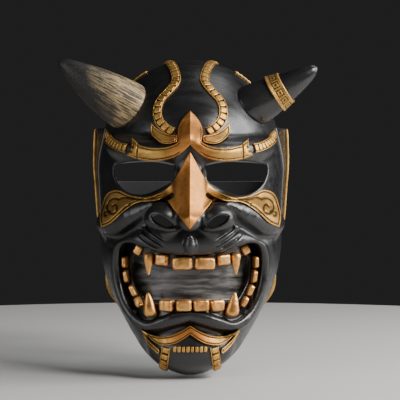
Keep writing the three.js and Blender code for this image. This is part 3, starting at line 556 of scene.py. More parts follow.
def wrinkle_depth(x, z):
    """Folds beside the nose that fade out at both ends."""
    fade = smoothstep(19, 29, x) * smoothstep(46, 40, x)
    return 1.9 * fade * groove(np.minimum(trace(x, z, WRINKLES), 9), 1.05)


def ladder(values, z):
    """A value that changes smoothly between the steps of the face's loft."""
    f = np.clip((z - LOFT_BOTTOM) / LOFT_STEP, 0, len(values) - 1.001)
    i = f.astype(int)
    at = lambda n: values[np.clip(n, 0, len(values) - 1)]
    return hermite(at(i - 1), at(i), at(i + 1), at(i + 2), f - i)


def skull_and_jaw(p):
    x, y, z = p
    n = ladder(SQUARENESS, z)
    g = ((x / ladder(HALF_WIDTH, z)) ** n + (np.abs(y) / ladder(FRONT_DEPTH, z)) ** n) ** (1 / n)
    r = np.hypot(x, y)
    body = r - r / np.maximum(g, 1e-3)
    body = smax(body, z - 62, 24)
    body = smax(body, -140.5 - z, 10)
    return smin(ellipsoid(p, *CRANIUM), body, 14)


def roof(p):
    """Positive in front of the two flanks that meet in the edge of the nose."""
    x, y, z = p
    edge = np.interp(z, NOSE_RIDGE[:, 0], NOSE_RIDGE[:, 1])
    return (edge + NOSE_SLOPE * np.abs(x) - y) / math.hypot(1, NOSE_SLOPE)


def plain_face(p):
    d = skull_and_jaw(p)
    d = smin(d, chain(p, BROW), 10)
    d = smin(d, smax(chain(p, NOSE), roof(p), 2.5), 9)
    d = smin(d, chain(p, CHEEK), 10)
    d = smin(d, ellipsoid(p, *WING), 5)
    d = smin(d, ellipsoid(p, *MUZZLE), 9)
    return smin(d, ellipsoid(p, *CHIN), 12)


GUM_FRONT = -106.5
GUM_BEND = 0.0092  # how fast the gums turn back to the sides


def gum_front(x):
    return GUM_FRONT + GUM_BEND * x * x


def mouth_recess(p, margin, blend):
    """The dish that shows the teeth and the throat behind them, grown by a margin."""
    x, y, z = p
    front = y - gum_front(x) - margin
    dish = smax(MOUTH(x, z) - margin, front, blend)
    throat = smax(THROAT(x, z) - margin, front - THROAT_DEPTH, blend + 1)
    return np.minimum(dish, throat)


def face_field(p):
    p = (np.abs(p[0]), p[1], p[2])
    d = plain_face(p)
    d = smax(d, -ellipsoid(p, *EYE_SOCKET), 6)
    d = smin(d, chain(p, LIP), 6)
    d = smin(d, chain(p, LOWER_LIP), 6)
    d = smax(d, -chain(p, CHEEK_FOLD), 5)
    d = smax(d, -chain(p, CHIN_FOLD), 5)
    d = smin(d, chain(p, PHILTRUM), 2.5)
    d = smin(d, chain(p, NOSTRIL_RIM), 3)
    d = smax(d, -smax(NOSTRIL(p[0], p[2]), p[1] + 125, 2), 2)
    d = d + wrinkle_depth(p[0], p[2])
    return smax(d, -mouth_recess(p, 0, 2), 2.5)


def hollow_field(p):
    p = (np.abs(p[0]), p[1], p[2])
    return smax(plain_face(p) + WALL, -mouth_recess(p, WALL, 3), 4)


class Volume:
    """A field kept on a grid over the right half, exact near its surface, and read between points."""

    BAND = 9  # how near the surface the field is worked out at every point
    COARSE = 4  # elsewhere it is worked out once for so many points along each axis
    BATCH = 400000
    RAY_STEP = 1.0
    SLOPE_REACH = 0.8

    def __init__(self, field, low, high, step):
        self.low, self.step = np.array(low, float), step
        axes = [np.arange(a, b + step * self.COARSE, step) for a, b in zip(low, high)]
        axes = [a[: len(a) // self.COARSE * self.COARSE] for a in axes]
        coarse = [a[self.COARSE // 2 :: self.COARSE] for a in axes]
        rough = field(np.meshgrid(*coarse, indexing="ij"))
        values = rough
        for axis in range(3):
            values = np.repeat(values, self.COARSE, axis)
        near = np.nonzero(np.abs(values) < self.BAND)
        values = values.astype(np.float32)
        for start in range(0, len(near[0]), self.BATCH):
            part = tuple(n[start : start + self.BATCH] for n in near)
            values[part] = field(tuple(a[n] for a, n in zip(axes, part)))
        self.axes, self.values = axes, values

    def __call__(self, p):
        where = (np.abs(p[0]), p[1], p[2])
        cells = [cell(c, low, self.step, size) for c, low, size in zip(where, self.low, self.values.shape)]
        (i, u), (j, v), (k, w) = cells
        layer = lambda a: between(lambda b, c: self.values[a, b, c], j, k, v, w)
        return (1 - u) * layer(i) + u * layer(i + 1)

    def meet(self, start, way, far=190.0):
        """Where a ray from outside, coming back towards start, first reaches the surface."""
        start, way = np.array(start, float), np.array(way, float)
        t = np.arange(far, 0, -self.RAY_STEP)
        inside = self(tuple(start[:, None] + way[:, None] * t)) < 0
        outer = t[np.argmax(inside)] + self.RAY_STEP
        inner = outer - self.RAY_STEP
        for _ in range(14):
            middle = (inner + outer) / 2
            if self(tuple(start + way * middle)) > 0:
                outer = middle
            else:
                inner = middle
        return start + way * inner

    def normal(self, point):
        steps = np.eye(3) * self.SLOPE_REACH
        n = np.array([self(tuple(point + s)) - self(tuple(point - s)) for s in steps])
        n[0] *= np.sign(point[0]) if abs(point[0]) < 1e-9 else 1
        return n / max(np.linalg.norm(n), 1e-9)


# ---------------------------------------- meshes
def make_object(name, points, faces):
    mesh = bpy.data.meshes.new(name)
    mesh.from_pydata((np.asarray(points, float) * MM).tolist(), [], [list(f) for f in faces])
    mesh.validate()
    mesh.polygons.foreach_set("use_smooth", [True] * len(mesh.polygons))
    made = bpy.data.objects.new(name, mesh)
    bpy.context.scene.collection.objects.link(made)
    return made


def signed_volume(points, quads):
    a, b, c, d = (points[quads[:, i]] for i in range(4))
    return (np.einsum("ij,ij->i", a, np.cross(b, c)) + np.einsum("ij,ij->i", a, np.cross(c, d))).sum()


def carve(name, values, low, step):
    """The surface of the negative part of a grid of values."""
    grid = openvdb.FloatGrid(float(values.max()) + 1)
    grid.copyFromArray(np.ascontiguousarray(values, np.float32))
    points, quads = grid.convertToQuads(0.0)
    points = np.asarray(points, float) * step + np.asarray(low, float)
    if signed_volume(points, quads) < 0:
        quads = quads[:, ::-1]
    return make_object(name, points, quads.tolist())


def carve_field(name, field, low, high, step):
    axes = [np.arange(a, b + step, step) for a, b in zip(low, high)]
    values = np.empty([len(a) for a in axes], np.float32)
    for i, x in enumerate(axes[0]):
        y, z = np.meshgrid(axes[1], axes[2], indexing="ij")
        values[i] = field((np.full_like(y, x), y, z))
    return carve(name, values, low, step)


def set_attribute(piece, name, values):
    attribute = piece.data.attributes.new(name, "FLOAT", "POINT")
    attribute.data.foreach_set("value", np.asarray(values, np.float32))


def points_of(piece):
    co = np.empty(len(piece.data.vertices) * 3, np.float32)
    piece.data.vertices.foreach_get("co", co)
    return co.reshape(-1, 3).astype(float) / MM


def node_box(node):
    low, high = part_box(node)
    return np.array(low) / MM, np.array(high) / MM


def carve_node(node, field, step, margin=1.5):
    """The fine piece for a CAD node, from a grid a little larger than the node's box."""
    low, high = node_box(node)
    return carve_field(f"{node}_fine", field, low - margin, high + margin, step)


def move_points(piece, points):
    piece.data.vertices.foreach_set("co", (points * MM).astype(np.float32).ravel())


def place(piece, node, slot_name, material, body="mask"):
    """The piece stands for a CAD node, rides on its body and wears its material."""
    piece.data.materials.clear()
    piece.data.materials.append(material)
    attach(piece, body)
    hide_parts(node)
    return piece


MATERIALS = {
    "black": black_paint(),
    "horn": horn_paint(),
    "gilt": gilt_paint("old_gilt", bright=(0.62, 0.36, 0.10), deep=(0.30, 0.145, 0.035),
                       copper=(0.64, 0.265, 0.065), rough=(0.38, 0.56)),
    "tooth": gilt_paint("copper_gilt", bright=(0.88, 0.45, 0.14), deep=(0.46, 0.19, 0.05),
                        copper=(0.88, 0.45, 0.14), rough=(0.28, 0.44)),
    "steel": steel_paint(),
    "plastic": plastic_paint(),
    "foam": foam_paint(),
    "webbing": webbing_paint(),
}

FACE_BOX = ((0, -152, -148), (100, 4, 156))
FACE = Volume(face_field, *FACE_BOX, SHELL_STEP)
HOLLOW = Volume(hollow_field, *FACE_BOX, SHELL_STEP)


# ---------------------------------------- shell
NECK = smooth_run([[2, -38], [-6, -62], [-20, -88], [-40, -112], [-62, -128], [-72, -150]], 6, close_end=True)


def neck_field(y, z):
    """Negative behind the edge that leaves room for the neck."""
    edge = np.interp(-z, -NECK[:, 1], NECK[:, 0], left=30, right=NECK[-1, 0])
    return (edge - y) * 0.75


def shell():
    """The shell's wall, with rounded rims round the eyes, the nostrils, the neck and the flat back."""
    x, y, z = np.meshgrid(*FACE.axes, indexing="ij", sparse=True)
    solid = smax(FACE.values, -HOLLOW.values, 1.0)
    cut = np.minimum(neck_field(y, z), -y)
    solid = smax(solid, -cut, 1.6)
    solid = smax(solid, -EYE(x + 0 * z, z + 0 * x), 1.8)
    solid = smax(solid, -NOSTRIL(x + 0 * z, z + 0 * x) - 0.4, 1.4)
    full = np.concatenate([solid[:0:-1], solid])
    low = (-FACE.axes[0][-1], FACE.low[1], FACE.low[2])
    piece = carve("shell_fine", full, low, SHELL_STEP)
    x, y, z = points_of(piece).T
    behind = smoothstep(3, 8, y - gum_front(x)) * smoothstep(-1.6, -0.4, FACE((x, y, z)))
    set_attribute(piece, "floor", behind * smoothstep(-1, 4, -THROAT(np.abs(x), z)))
    return place(piece, "face_shell", "black_resin", MATERIALS["black"])


# ---------------------------------------- gilt trims
TRIM = 2.6  # how far a trim stands off the shell
TRIM_GROWTH = 0.15  # how far its edge passes the outline
SUNK = 1.0  # how far its back reaches into the shell, so that no gap shows
ENGRAVED = 1.1  # the depth of a cut line
ENGRAVING_STEP = 0.25
REDDEN = (8, 27)  # the trims' gold is coppery up to this far from the middle, and plain beyond the second


def engraving_map(low, high, engraving):
    """The engraving of a front rectangle, worked out once on a fine grid."""
    x = np.arange(low[0], high[0] + ENGRAVING_STEP, ENGRAVING_STEP)[:, None]
    z = np.arange(low[2], high[2] + ENGRAVING_STEP, ENGRAVING_STEP)[None, :]
    return Map((low[0], low[2]), ENGRAVING_STEP, engraving(x + 0 * z, z + 0 * x))


def trim(name, node, flat, engraving, rise, low, high, sharp=0.9):
    """A raised ornament: the part of a front outline between the shell and a height over it, with cut lines.

    engraving(x, z) is 1 in a cut line and 0 beside it, and rise(x, z) is added to the height."""
    low, high = np.array(low, float) - 1.5, np.array(high, float) + 1.5
    cuts = engraving_map(low, high, engraving)

    def field(p):
        x, y, z = p
        over = FACE(p)
        height = TRIM + rise(x, z) - ENGRAVED * cuts(x, z)
        return smax(smax(flat(x, z) - TRIM_GROWTH, over - height, sharp), -(over + SUNK), 0.4)

    piece = carve_field(name, field, low, high, TRIM_STEP)
    p = points_of(piece).T
    seam = 1 - smoothstep(0.5, 1.3, FACE(p))
    set_attribute(piece, "wash", np.clip(np.maximum(cuts(p[0], p[2]) * 0.95, seam), 0, 1))
    set_attribute(piece, "redden", 1 - smoothstep(*REDDEN, np.abs(p[0])))
    return place(piece, node, "gilt", MATERIALS["gilt"])


def level(x, z):
    return 0 * x


BROW_CREST = Flat(mirrored([
    [[0, 93.5], [5.4, 88], [9.6, 81], [10.8, 74], [9.6, 66]],
    [[9.6, 66], [14, 62.9], [22, 60.5], [33, 60.2], [44, 62.8]],
    [[44, 62.8], [51.4, 70]],
    [[51.4, 70], [51.4, 63], [52.6, 57.6]],
    [[52.6, 57.6], [55.6, 54.6]],
    [[55.6, 54.6], [45, 50.8], [30, 49], [15, 51.6], [6.5, 56.6], [0, 63]],
]))
PETAL_RUNS = [
    [[11.4, 71.2], [21, 73], [28.6, 77.4], [34.6, 83.2]],
    [[34.6, 83.2], [34.2, 73.6], [27, 66], [20, 63.8], [11.8, 65.4]],
    [[11.8, 65.4], [11.2, 68], [11.4, 71.2]],
]
NOSE_CHEEK = Flat(mirrored([
    [[0, 57], [5, 48.3], [12.4, 35], [20.5, 25.4], [29, 20.6], [40, 17.6], [54, 19.8], [66, 24.4], [77, 20],
     [82, 6], [80, -9]],
    [[80, -9], [70, -5], [58, 5.6], [46, 13], [30, 14.8], [19.4, 19]],
    [[19.4, 19], [15.2, 21.6], [13.4, 19.2], [15.6, 16.8]],
    [[15.6, 16.8], [19.2, 14.6]],
    [[19.2, 14.6], [9.5, 2], [0, -9.6]],
]))
CHIN_TRIM = Flat(mirrored([
    [[0, -94.6], [8, -99.4], [17, -103.2], [28, -104.6], [36, -102.6], [43, -98.2]],
    [[43, -98.2], [37.4, -105.4], [30.6, -110], [23.4, -111.8], [12, -109.4], [0, -102]],
]))
CHIN_STRIPE_RUNS = [
    [[44.6, -100.6], [40, -109], [34.4, -115], [28.4, -119.6]],
    [[28.4, -119.6], [27.2, -117.4], [28.2, -115]],
    [[28.2, -115], [36.8, -108.8], [44.6, -100.6]],
]


def spiral(centre, radius, start, turns, shrink=0.82, points=40):
    """A scroll line that winds in from a start angle, in degrees."""
    t = np.linspace(0, 1, points)
    a = np.radians(start) + t * turns * 2 * math.pi
    r = radius * (1 - shrink * t)
    return np.stack([centre[0] + r * np.cos(a), centre[1] + r * np.sin(a)], 1)


def nose_and_cheek_engraving(x, z):
    u = np.abs(x)
    border = groove(NOSE_CHEEK(u, z) + 1.9, 0.5) * smoothstep(22, 30, u)
    scrolls = [spiral((68.5, 8.5), 8.6, 120, -1.2), spiral((74.6, 2.4), 4.2, 150, -0.7)]
    tails = [smooth_run([(64, 15.6), (58, 17.6), (50, 16), (42, 16.4)]),
             smooth_run([(62, 4), (57, 9), (52.6, 11)])]
    dots = groove(np.hypot(u - 53, z - 12.2), 0.9)
    return np.maximum(np.maximum(border, dots), groove(trace(u, z, scrolls + tails), 1.0))


def nose_ridge(x, z):
    """A keel down the middle of the nose blade, fading over the straps."""
    return 1.5 * np.exp(-np.abs(x) / 5.5) * smoothstep(60, 50, z) - 0.9 * smoothstep(24, 34, np.abs(x))


def crest_engraving(x, z):
    u = np.abs(x)
    border = groove(BROW_CREST(x, z) + 1.5, 0.34)
    wing = border * smoothstep(7, 11, u) * smoothstep(52.5, 48, u)
    rivets = groove(np.hypot(u - 50.6, z - 61.8), 1.0) + groove(np.hypot(u - 52.2, z - 57.4), 1.0)
    bar = groove(trace(u, z, [[(46.6, 50.5), (45.8, 64.5)]]), 0.45)
    return np.clip(np.maximum(wing, bar) + rivets, 0, 1)


def crest_rise(x, z):
    """A ridge down the spade and along the wings."""
    spade = 1.6 * np.exp(-np.abs(x) / 3.2) * smoothstep(58, 70, z)
    inner = np.clip(-BROW_CREST(x, z), 0, 4) / 4
    return spade + 0.5 * inner - 0.6 * smoothstep(30, 55, np.abs(x))


def make_trims():
    trim("brow_crest_fine", "brow_crest", BROW_CREST, crest_engraving, crest_rise,
         (-60, -124, 48), (60, -78, 95))
    trim("nose_and_cheek_fine", "nose_and_cheek_trim", NOSE_CHEEK, nose_and_cheek_engraving, nose_ridge,
         (-83, -150, -11), (83, -46, 58))
    trim("chin_trim_fine", "chin_trim", CHIN_TRIM, lambda x, z: groove(CHIN_TRIM(x, z) + 1.2, 0.3), level,
         (-43, -114, -114), (43, -84, -96))
    for side, s in SIDES.items():
        for name, runs in (("crest_petal", PETAL_RUNS), ("chin_stripe", CHIN_STRIPE_RUNS)):
            points = outline(runs) * [s, 1]
            flat = Flat(points)
            low, high = points.min(0), points.max(0)
            box_low, box_high = node_box(f"{side}_{name}")
            trim(f"{side}_{name}_fine", f"{side}_{name}", flat,
                 lambda x, z, flat=flat: 0.9 * groove(flat(x, z) + 1.3, 0.3), level,
                 (low[0], box_low[1] - 2, low[1]), (high[0], box_high[1] + 3, high[1]), 0.7)


# ---------------------------------------- ringed strips
def pillow(half, power, cuts=6):
    """A block with round edges: the ball of the given power, stretched to half sizes."""
    index, points, faces = {}, [], []

    def corner(p):
        key = tuple(np.round(p, 6))
        if key not in index:
            index[key] = len(points)
            points.append(np.array(p) / (np.abs(p) ** power).sum() ** (1 / power))
        return index[key]

    t = np.tan(np.linspace(-math.pi / 4, math.pi / 4, cuts + 1))
    for axis in range(3):
        for sign in (-1, 1):
            for i in range(cuts):
                for j in range(cuts):
                    quad = []
                    for a, b in ((i, j), (i + 1, j), (i + 1, j + 1), (i, j + 1)):
                        p = np.zeros(3)
                        p[axis], p[(axis + 1) % 3], p[(axis + 2) % 3] = sign, t[a], t[b]
                        quad.append(corner(p))
                    faces.append(quad if sign > 0 else quad[::-1])
    return np.array(points) * half, faces


class Heap:
    """Points and faces of several closed forms that make one piece, with a wash value each."""

    def __init__(self):
        self.points, self.faces, self.wash = [], [], []

    def add(self, points, faces, wash):
        start = sum(len(p) for p in self.points)
        self.points.append(np.asarray(points))
        self.faces += [[start + i for i in face] for face in faces]
        self.wash.append(np.broadcast_to(wash, len(points)))

    def make(self, name):
        piece = make_object(name, np.concatenate(self.points), self.faces)
        set_attribute(piece, "wash", np.concatenate(self.wash))
        return piece


def oriented(points, faces):
    """The faces, turned so that a closed form's volume is positive."""
    volume = 0.0
    for face in faces:
        for i in range(1, len(face) - 1):
            volume += np.dot(points[face[0]], np.cross(points[face[i]], points[face[i + 1]]))
    return faces if volume > 0 else [face[::-1] for face in faces]


def loft(sections):
    """Faces between rings of equal corner count, first and last capped."""
    count = len(sections[0])
    at = lambda ring, corner: ring * count + corner % count
    faces = [[at(i, j), at(i, j + 1), at(i + 1, j + 1), at(i + 1, j)]
             for i in range(len(sections) - 1) for j in range(count)]
    faces += [list(range(count))[::-1], [at(len(sections) - 1, j) for j in range(count)]]
    points = np.concatenate(sections)
    return points, oriented(points, faces)


def even(points, spacing):
    """The run again, at equal distances, and its directions."""
    lengths = np.concatenate([[0], np.cumsum(np.linalg.norm(np.diff(points, axis=0), axis=1))])
    count = max(2, int(round(lengths[-1] / spacing)) + 1)
    at = np.linspace(0, lengths[-1], count)
    out = np.stack([np.interp(at, lengths, points[:, i]) for i in range(3)], 1)
    ways = np.gradient(out, axis=0)
    return out, ways / np.linalg.norm(ways, axis=1)[:, None]


def settle(points):
    """Moves points onto the shell along the field's slope."""
    out = points.copy()
    for _ in range(4):
        for i, p in enumerate(out):
            out[i] = p - FACE.normal(p) * FACE(tuple(p))
    return out


def ribbon(heap, run, width, low, high, wash, offset=0.0):
    """A band on the shell, offset sideways, from one height to another over it."""
    points, ways = even(run, 1.2)
    sections = []
    for p, way in zip(points, ways):
        up = FACE.normal(p)
        across = unit(np.cross(way, up))
        middle = p + across * offset
        corners = [(-1, low), (-1, high - 0.35), (-0.6, high), (0.6, high), (1, high - 0.35), (1, low)]
        sections.append([middle + across * width / 2 * a + up * h for a, h in corners])
    heap.add(*loft(sections), wash)


def ringed_strip(node, run, width, pitch, height, borders=True):
    """A gilt strip of flat blocks set end to end between two thin border lines, on a dark ground."""
    heap = Heap()
    run = settle(run)
    ribbon(heap, run, width + 1.4 if borders else width - 1, -SUNK, 0.5, 1.0)
    if borders:
        for offset in (-1, 1):
            ribbon(heap, run, 0.8, 0, height * 0.7, 0.0, offset=offset * (width / 2 + 0.3))
    points, ways = even(run, pitch)
    middles, ways = (points[:-1] + points[1:]) / 2, (ways[:-1] + ways[1:]) / 2
    length = np.linalg.norm(points[1] - points[0])
    for i, (p, way) in enumerate(zip(middles, ways)):
        way = unit(way)
        up = FACE.normal(p)
        across = unit(np.cross(way, up))
        half = np.array([(length - 1.0) / 2, (width - 0.7) / 2, height * 0.62])
        block, faces = pillow(half * (1 + 0.03 * math.sin(i * 2.4)), 6, 8)
        drift = Vector((i * 3.7, 0, 0))
        block[:, 2] += 0.12 * np.array([noise.noise(Vector(q * 0.5) + drift) for q in block])
        axes = np.stack([way, across, np.cross(way, across)])
        axes[2] *= np.sign(axes[2] @ up)
        heap.add(p + up * height * 0.38 + block @ axes, oriented(block @ axes, faces), 0.0)
    return place(heap.make(f"{node}_fine"), node, "gilt", MATERIALS["gilt"])


# Runs of the strips: (x, z) on the front, (x, y) on the top and (y, z) at the side.
FOREHEAD_SPINE = {
    "front": [[14.5, 74.5], [20, 77.2], [26.6, 84], [29, 93], [26.6, 103], [18.8, 112.5], [13, 121],
              [13.6, 130]],
    "top": [[18.5, -34], [21, -22], [22, -9]],
}
BROW_SPINE = {"front": [[55.8, 60.6], [64, 63], [72.6, 68.6], [77.8, 76.4]], "top": []}
CROWN_STRIP = [[41, -20], [47, -18.5], [53, -17.5], [59, -17]]
JAW_BARB = [[-40, -54], [-33, -64], [-27, -74], [-25, -82]]
CHIN_BAR = [[20.4, -113.4], [21.4, -119.5], [22.4, -125], [23.2, -130.5], [23.6, -135]]


def front(x, z):
    return FACE.meet((x, 0, z), (0, -1, 0))


def top(x, y):
    return FACE.meet((x, y, CROWN), (0, 0, 1))


def barb(node, run):
    """A leaf-shaped gilt barb, widest in the middle and sharp at both ends."""
    points, ways = even(settle(run), 0.8)
    sections = []
    for i, (p, way) in enumerate(zip(points, ways)):
        t = i / (len(points) - 1)
        up = FACE.normal(p)
        across = np.cross(way, up)
        wide = 0.15 + 2.3 * math.sin(math.pi * min(t * 1.15, 1)) ** 0.8
        tall = 0.5 + 2.2 * math.sin(math.pi * t)
        corners = [(-1, -SUNK), (-1, tall * 0.35), (0, tall), (1, tall * 0.35), (1, -SUNK)]
        sections.append([p + across * wide * a + up * h for a, h in corners])
    heap = Heap()
    heap.add(*loft(sections), 0.0)
    return place(heap.make(f"{node}_fine"), node, "gilt", MATERIALS["gilt"])


def make_strips():
    for side, s in SIDES.items():
        for kind, spec, width, pitch, height in (("forehead_spine", FOREHEAD_SPINE, 6.8, 6.4, 2.2),
                                                 ("brow_spine", BROW_SPINE, 6.4, 5.2, 2.0)):
            run = [front(s * x, z) for x, z in spec["front"]] + [top(s * x, y) for x, y in spec["top"]]
            ringed_strip(f"{side}_{kind}", smooth_run(run, 5, True), width, pitch, height)
        crown = smooth_run([top(s * x, y) for x, y in CROWN_STRIP], 4, True)
        ringed_strip(f"{side}_crown_strip", crown, 5.2, 5.0, 1.9)
        chin = smooth_run([front(s * x, z) for x, z in CHIN_BAR], 4, True)
        ringed_strip(f"{side}_chin_bar", chin, 6.6, 5.4, 2.6)
        jaw = smooth_run([FACE.meet((0, y, z), (s, 0, 0)) for y, z in JAW_BARB], 4, True)
        barb(f"{side}_jaw_barb", jaw)
    comb = smooth_run([front(x, -115) for x in np.linspace(-15, 15, 7)], 3, True)
    ringed_strip("chin_comb", comb, 5.6, 3.9, 1.9, borders=False)


# ---------------------------------------- teeth
UPPER_DRIFT, LOWER_DRIFT, SIDE_DRIFT = 3.4, 2.4, 3.4  # how far towards +X each group of teeth is moved
BLUNT = {  # x, z, width, height, stand-off, lean and drift
    "upper_inner_incisor": (9.8, -39.9, 18, 11.6, 5.4, -2, UPPER_DRIFT),
    "upper_outer_incisor": (26.3, -37, 12.4, 10.2, 5.2, 4, UPPER_DRIFT),
    "upper_molar": (47.2, -28.9, 7.6, 9, 4.6, 28, UPPER_DRIFT),
    "lower_inner_incisor": (7.4, -76.6, 13.8, 10.6, 5.4, 0, LOWER_DRIFT),
    "lower_outer_incisor": (21.9, -76.8, 12.8, 10.8, 5.4, 2, LOWER_DRIFT),
    "side_molar_1": (57.6, -40, 4.3, 10.8, 11, 2, 0),
    "side_molar_2": (56.4, -52.8, 4.5, 11.8, 9.5, -8, 0),
    "side_molar_3": (51.6, -65, 4.9, 10.8, 8, -24, SIDE_DRIFT),
    "side_molar_4": (46, -75, 4.9, 10.4, 7, -32, SIDE_DRIFT),
}
FANGS = {  # x, root z, point z, radius, stand-off, how far the point leans out, and drift
    "upper_fang": (38.4, -30.2, -50.6, 4.5, 6.4, 0, UPPER_DRIFT),
    "lower_fang": (35.2, -88, -65.6, 6.3, 7.4, 3, LOWER_DRIFT),
}
DRIFT_FADE = 24  # the drift lessens by 1 mm for each 24 mm from the middle
SIDE_TURN = 0.3  # the teeth at the sides face almost straight ahead
SIDE_START = 45  # how far from the middle the sides begin
TOOTH_ROOT = 4  # how far a blunt tooth goes into the gum


def drifted(s, x, drift):
    return s * x + (drift - x / DRIFT_FADE if drift else 0)


def finish_tooth(name, points, faces, seed):
    """Hand-carved unevenness, then the piece itself, dark where it goes into the gum."""
    shift = np.array([0.30 * noise.noise(Vector(p * 0.20 + seed * 7.3))
                      + 0.10 * noise.noise(Vector(p * 0.7 + seed)) for p in points])
    middle = points.mean(0)
    away = (points - middle) / np.linalg.norm(points - middle, axis=1)[:, None]
    points = points + away * shift[:, None] * 1.5
    heap = Heap()
    heap.add(points, faces, 1 - smoothstep(0.3, 1.6, FACE(tuple(points.T))))
    return place(heap.make(name + "_fine"), name, "tooth_gilt", MATERIALS["tooth"])


def blunt_tooth(name, s, seed, x, z, width, height, stand, lean, drift):
    """A squarish tooth, flat in front with round edges, a little narrower at the gum."""
    x = drifted(s, x, drift)
    deep = stand + TOOTH_ROOT
    block, faces = pillow(np.array([width / 2, deep / 2, height / 2]), 5.5, 14)
    forward = smoothstep(0.2, 1.0, -2 * block[:, 1] / deep)
    block[:, 0] *= 1 - 0.07 * forward
    block[:, 2] *= 1 - 0.09 * forward
    slope = math.atan(2 * GUM_BEND * x) * (SIDE_TURN if abs(x) > SIDE_START else 1)
    turned = block @ np.array(Matrix.Rotation(math.radians(s * lean), 3, "Y"))
    turned = turned @ np.array(Matrix.Rotation(-slope, 3, "Z"))
    points = turned + [x, gum_front(x) + (TOOTH_ROOT - stand) / 2, z]
    return finish_tooth(name, points, oriented(points, faces), seed)


def fang(name, s, seed, x, root, point, radius, stand, out, drift):
    """A drop-shaped fang, round at the root, that leans out a little towards its point."""
    rings, sides = 28, 30
    x = drifted(s, x, drift)
    sections = []
    for i in range(rings):
        t = i / (rings - 1)
        swell = math.sqrt(max(0.0, 1 - (1 - min(t / 0.24, 1)) ** 2.4))
        taper = 1 - 0.84 * max(0, (t - 0.2) / 0.8) ** 1.45
        end = math.sqrt(max(0.0, 1 - max(0, (t - 0.92) / 0.08) ** 2))
        r = radius * max(swell * taper * end, 0.03)
        centre = np.array([x + s * out * t, gum_front(x) - stand * 0.42 - 1.6 * t, lerp(root, point, t)])
        a = np.linspace(0, 2 * math.pi, sides, endpoint=False)
        power = lambda v: np.sign(v) * np.abs(v) ** 0.85
        sections.append(centre + np.stack([r * power(np.cos(a)), 0.88 * r * power(np.sin(a)), 0 * a], 1))
    points, faces = loft(sections)
    return finish_tooth(name, points, faces, seed)


def make_teeth():
    seed = 1
    for side, s in SIDES.items():
        for kind, numbers in BLUNT.items():
            blunt_tooth(f"{side}_{kind}", s, seed, *numbers)
            seed += 1
        for kind, numbers in FANGS.items():
            fang(f"{side}_{kind}", s, seed, *numbers)
            seed += 1


# ---------------------------------------- horns
HORNS = {
    "left": {"base": (-57.5, -56, 101), "tip": (-118.5, -70, 140.5),
             "radii": [23, 21.8, 19.8, 17, 13.4, 9.2, 4]},
    "right": {"base": (58, -56, 102), "tip": (114.5, -69, 135),
              "radii": [20, 18.4, 16.2, 13.4, 10.8, 7.8, 4]},
}
HORN_ROOT = 16  # how far a horn goes on behind its base
HORN_BEND = 4  # how strongly it bends, as the factor of t * t - t
ROUND_TIP = 0.08  # the part of its length that the round tip takes up
GOLD_AND_HIGHLIGHT_ANGLE = 2.2  # the angle round the left horn where its gold is strongest, partly a painted highlight on the upper side
RING = {"from": 0.315, "to": 0.5, "wall": 1.7}  # the first two as parts of the horn's length
HALF_TURN_FRETS = 6


class HornLine:
    """The bent line of a horn: place and radius at t from 0 at the base to 1 at the tip."""

    def __init__(self, horn):
        self.base, self.tip = np.array(horn["base"], float), np.array(horn["tip"], float)
        self.radii = np.array(horn["radii"], float)
        self.length = np.linalg.norm(self.tip - self.base)
        self.axis = (self.tip - self.base) / self.length
        self.across = unit(np.cross(self.axis, [0, 0, 1]))
        self.lift = np.cross(self.across, self.axis)

    def centre(self, t):
        t = np.asarray(t, float)
        return (self.base + self.axis * self.length * t[..., None]
                + self.lift * (HORN_BEND * (t * t - t) * (t > 0))[..., None])

    def radius(self, t):
        """Smooth through the given radii, going on at the same slope behind the base, with a round tip."""
        steps = 8
        fine = smooth_run(self.radii[:, None], steps, True)[:, 0]
        plain = np.interp(t, np.linspace(0, 1, len(fine)), fine)
        plain = plain + np.maximum(-np.asarray(t), 0) * (fine[0] - fine[steps]) * (len(fine) - 1) / steps
        end = np.clip((np.asarray(t) - (1 - ROUND_TIP)) / ROUND_TIP, 0, 1)
        return plain * np.sqrt(np.clip(1 - end**2, 0, 1))

    def around(self, points):
        """Each point's t, distance from the line, and angle."""
        d = points - self.base
        t = d @ self.axis / self.length
        out = points - self.centre(t)
        u, w = out @ self.across, out @ self.lift
        return t, np.hypot(u, w), np.arctan2(w, u)


def make_horn(side):
    line = HornLine(HORNS[side])

    def field(p):
        t, r, _ = line.around(np.stack([c.ravel() for c in p], 1))
        body = (r - line.radius(t)) * 0.94
        body = smax(body, (-HORN_ROOT / line.length - t) * line.length, 3)
        return smax(body.reshape(p[0].shape), -(FACE(p) + 1.2), 3.5)

    piece = carve_node(f"{side}_horn", field, HORN_STEP, 3)
    points = points_of(piece)
    t, r, angle = line.around(points)
    round_it = lambda size, a, u: Vector((size * math.cos(a), size * math.sin(a), u))
    streak = np.array([0.4 * noise.fractal(round_it(4, a, 3 * u), 1.0, 2.0, 3)
                       + 0.8 * noise.fractal(round_it(20, a, 5 * u + 9), 0.7, 2.1, 3)
                       for a, u in zip(angle, t)])
    streak = np.clip(0.5 + 0.6 * streak, 0, 1)
    depth = 0.35 if side == "left" else 0.1
    out = (points - line.centre(t)) / np.maximum(r, 1e-6)[:, None]
    points += out * ((streak - 0.5) * depth * smoothstep(0.8, 0.4, t))[:, None]
    move_points(piece, points)
    set_attribute(piece, "streak", streak)
    # More gold towards the upper front: partly dragged gold, partly a painted highlight on the side the light
    # falls on.
    towards = 0.62 + 0.38 * np.cos(angle - GOLD_AND_HIGHLIGHT_ANGLE)
    root = np.clip(1.05 - t, 0, 1) * towards + 0.4 * smoothstep(0.12, 0.0, t)
    set_attribute(piece, "root", np.clip(root, 0, 1))
    return place(piece, f"{side}_horn", "black_resin", MATERIALS["horn" if side == "left" else "black"])


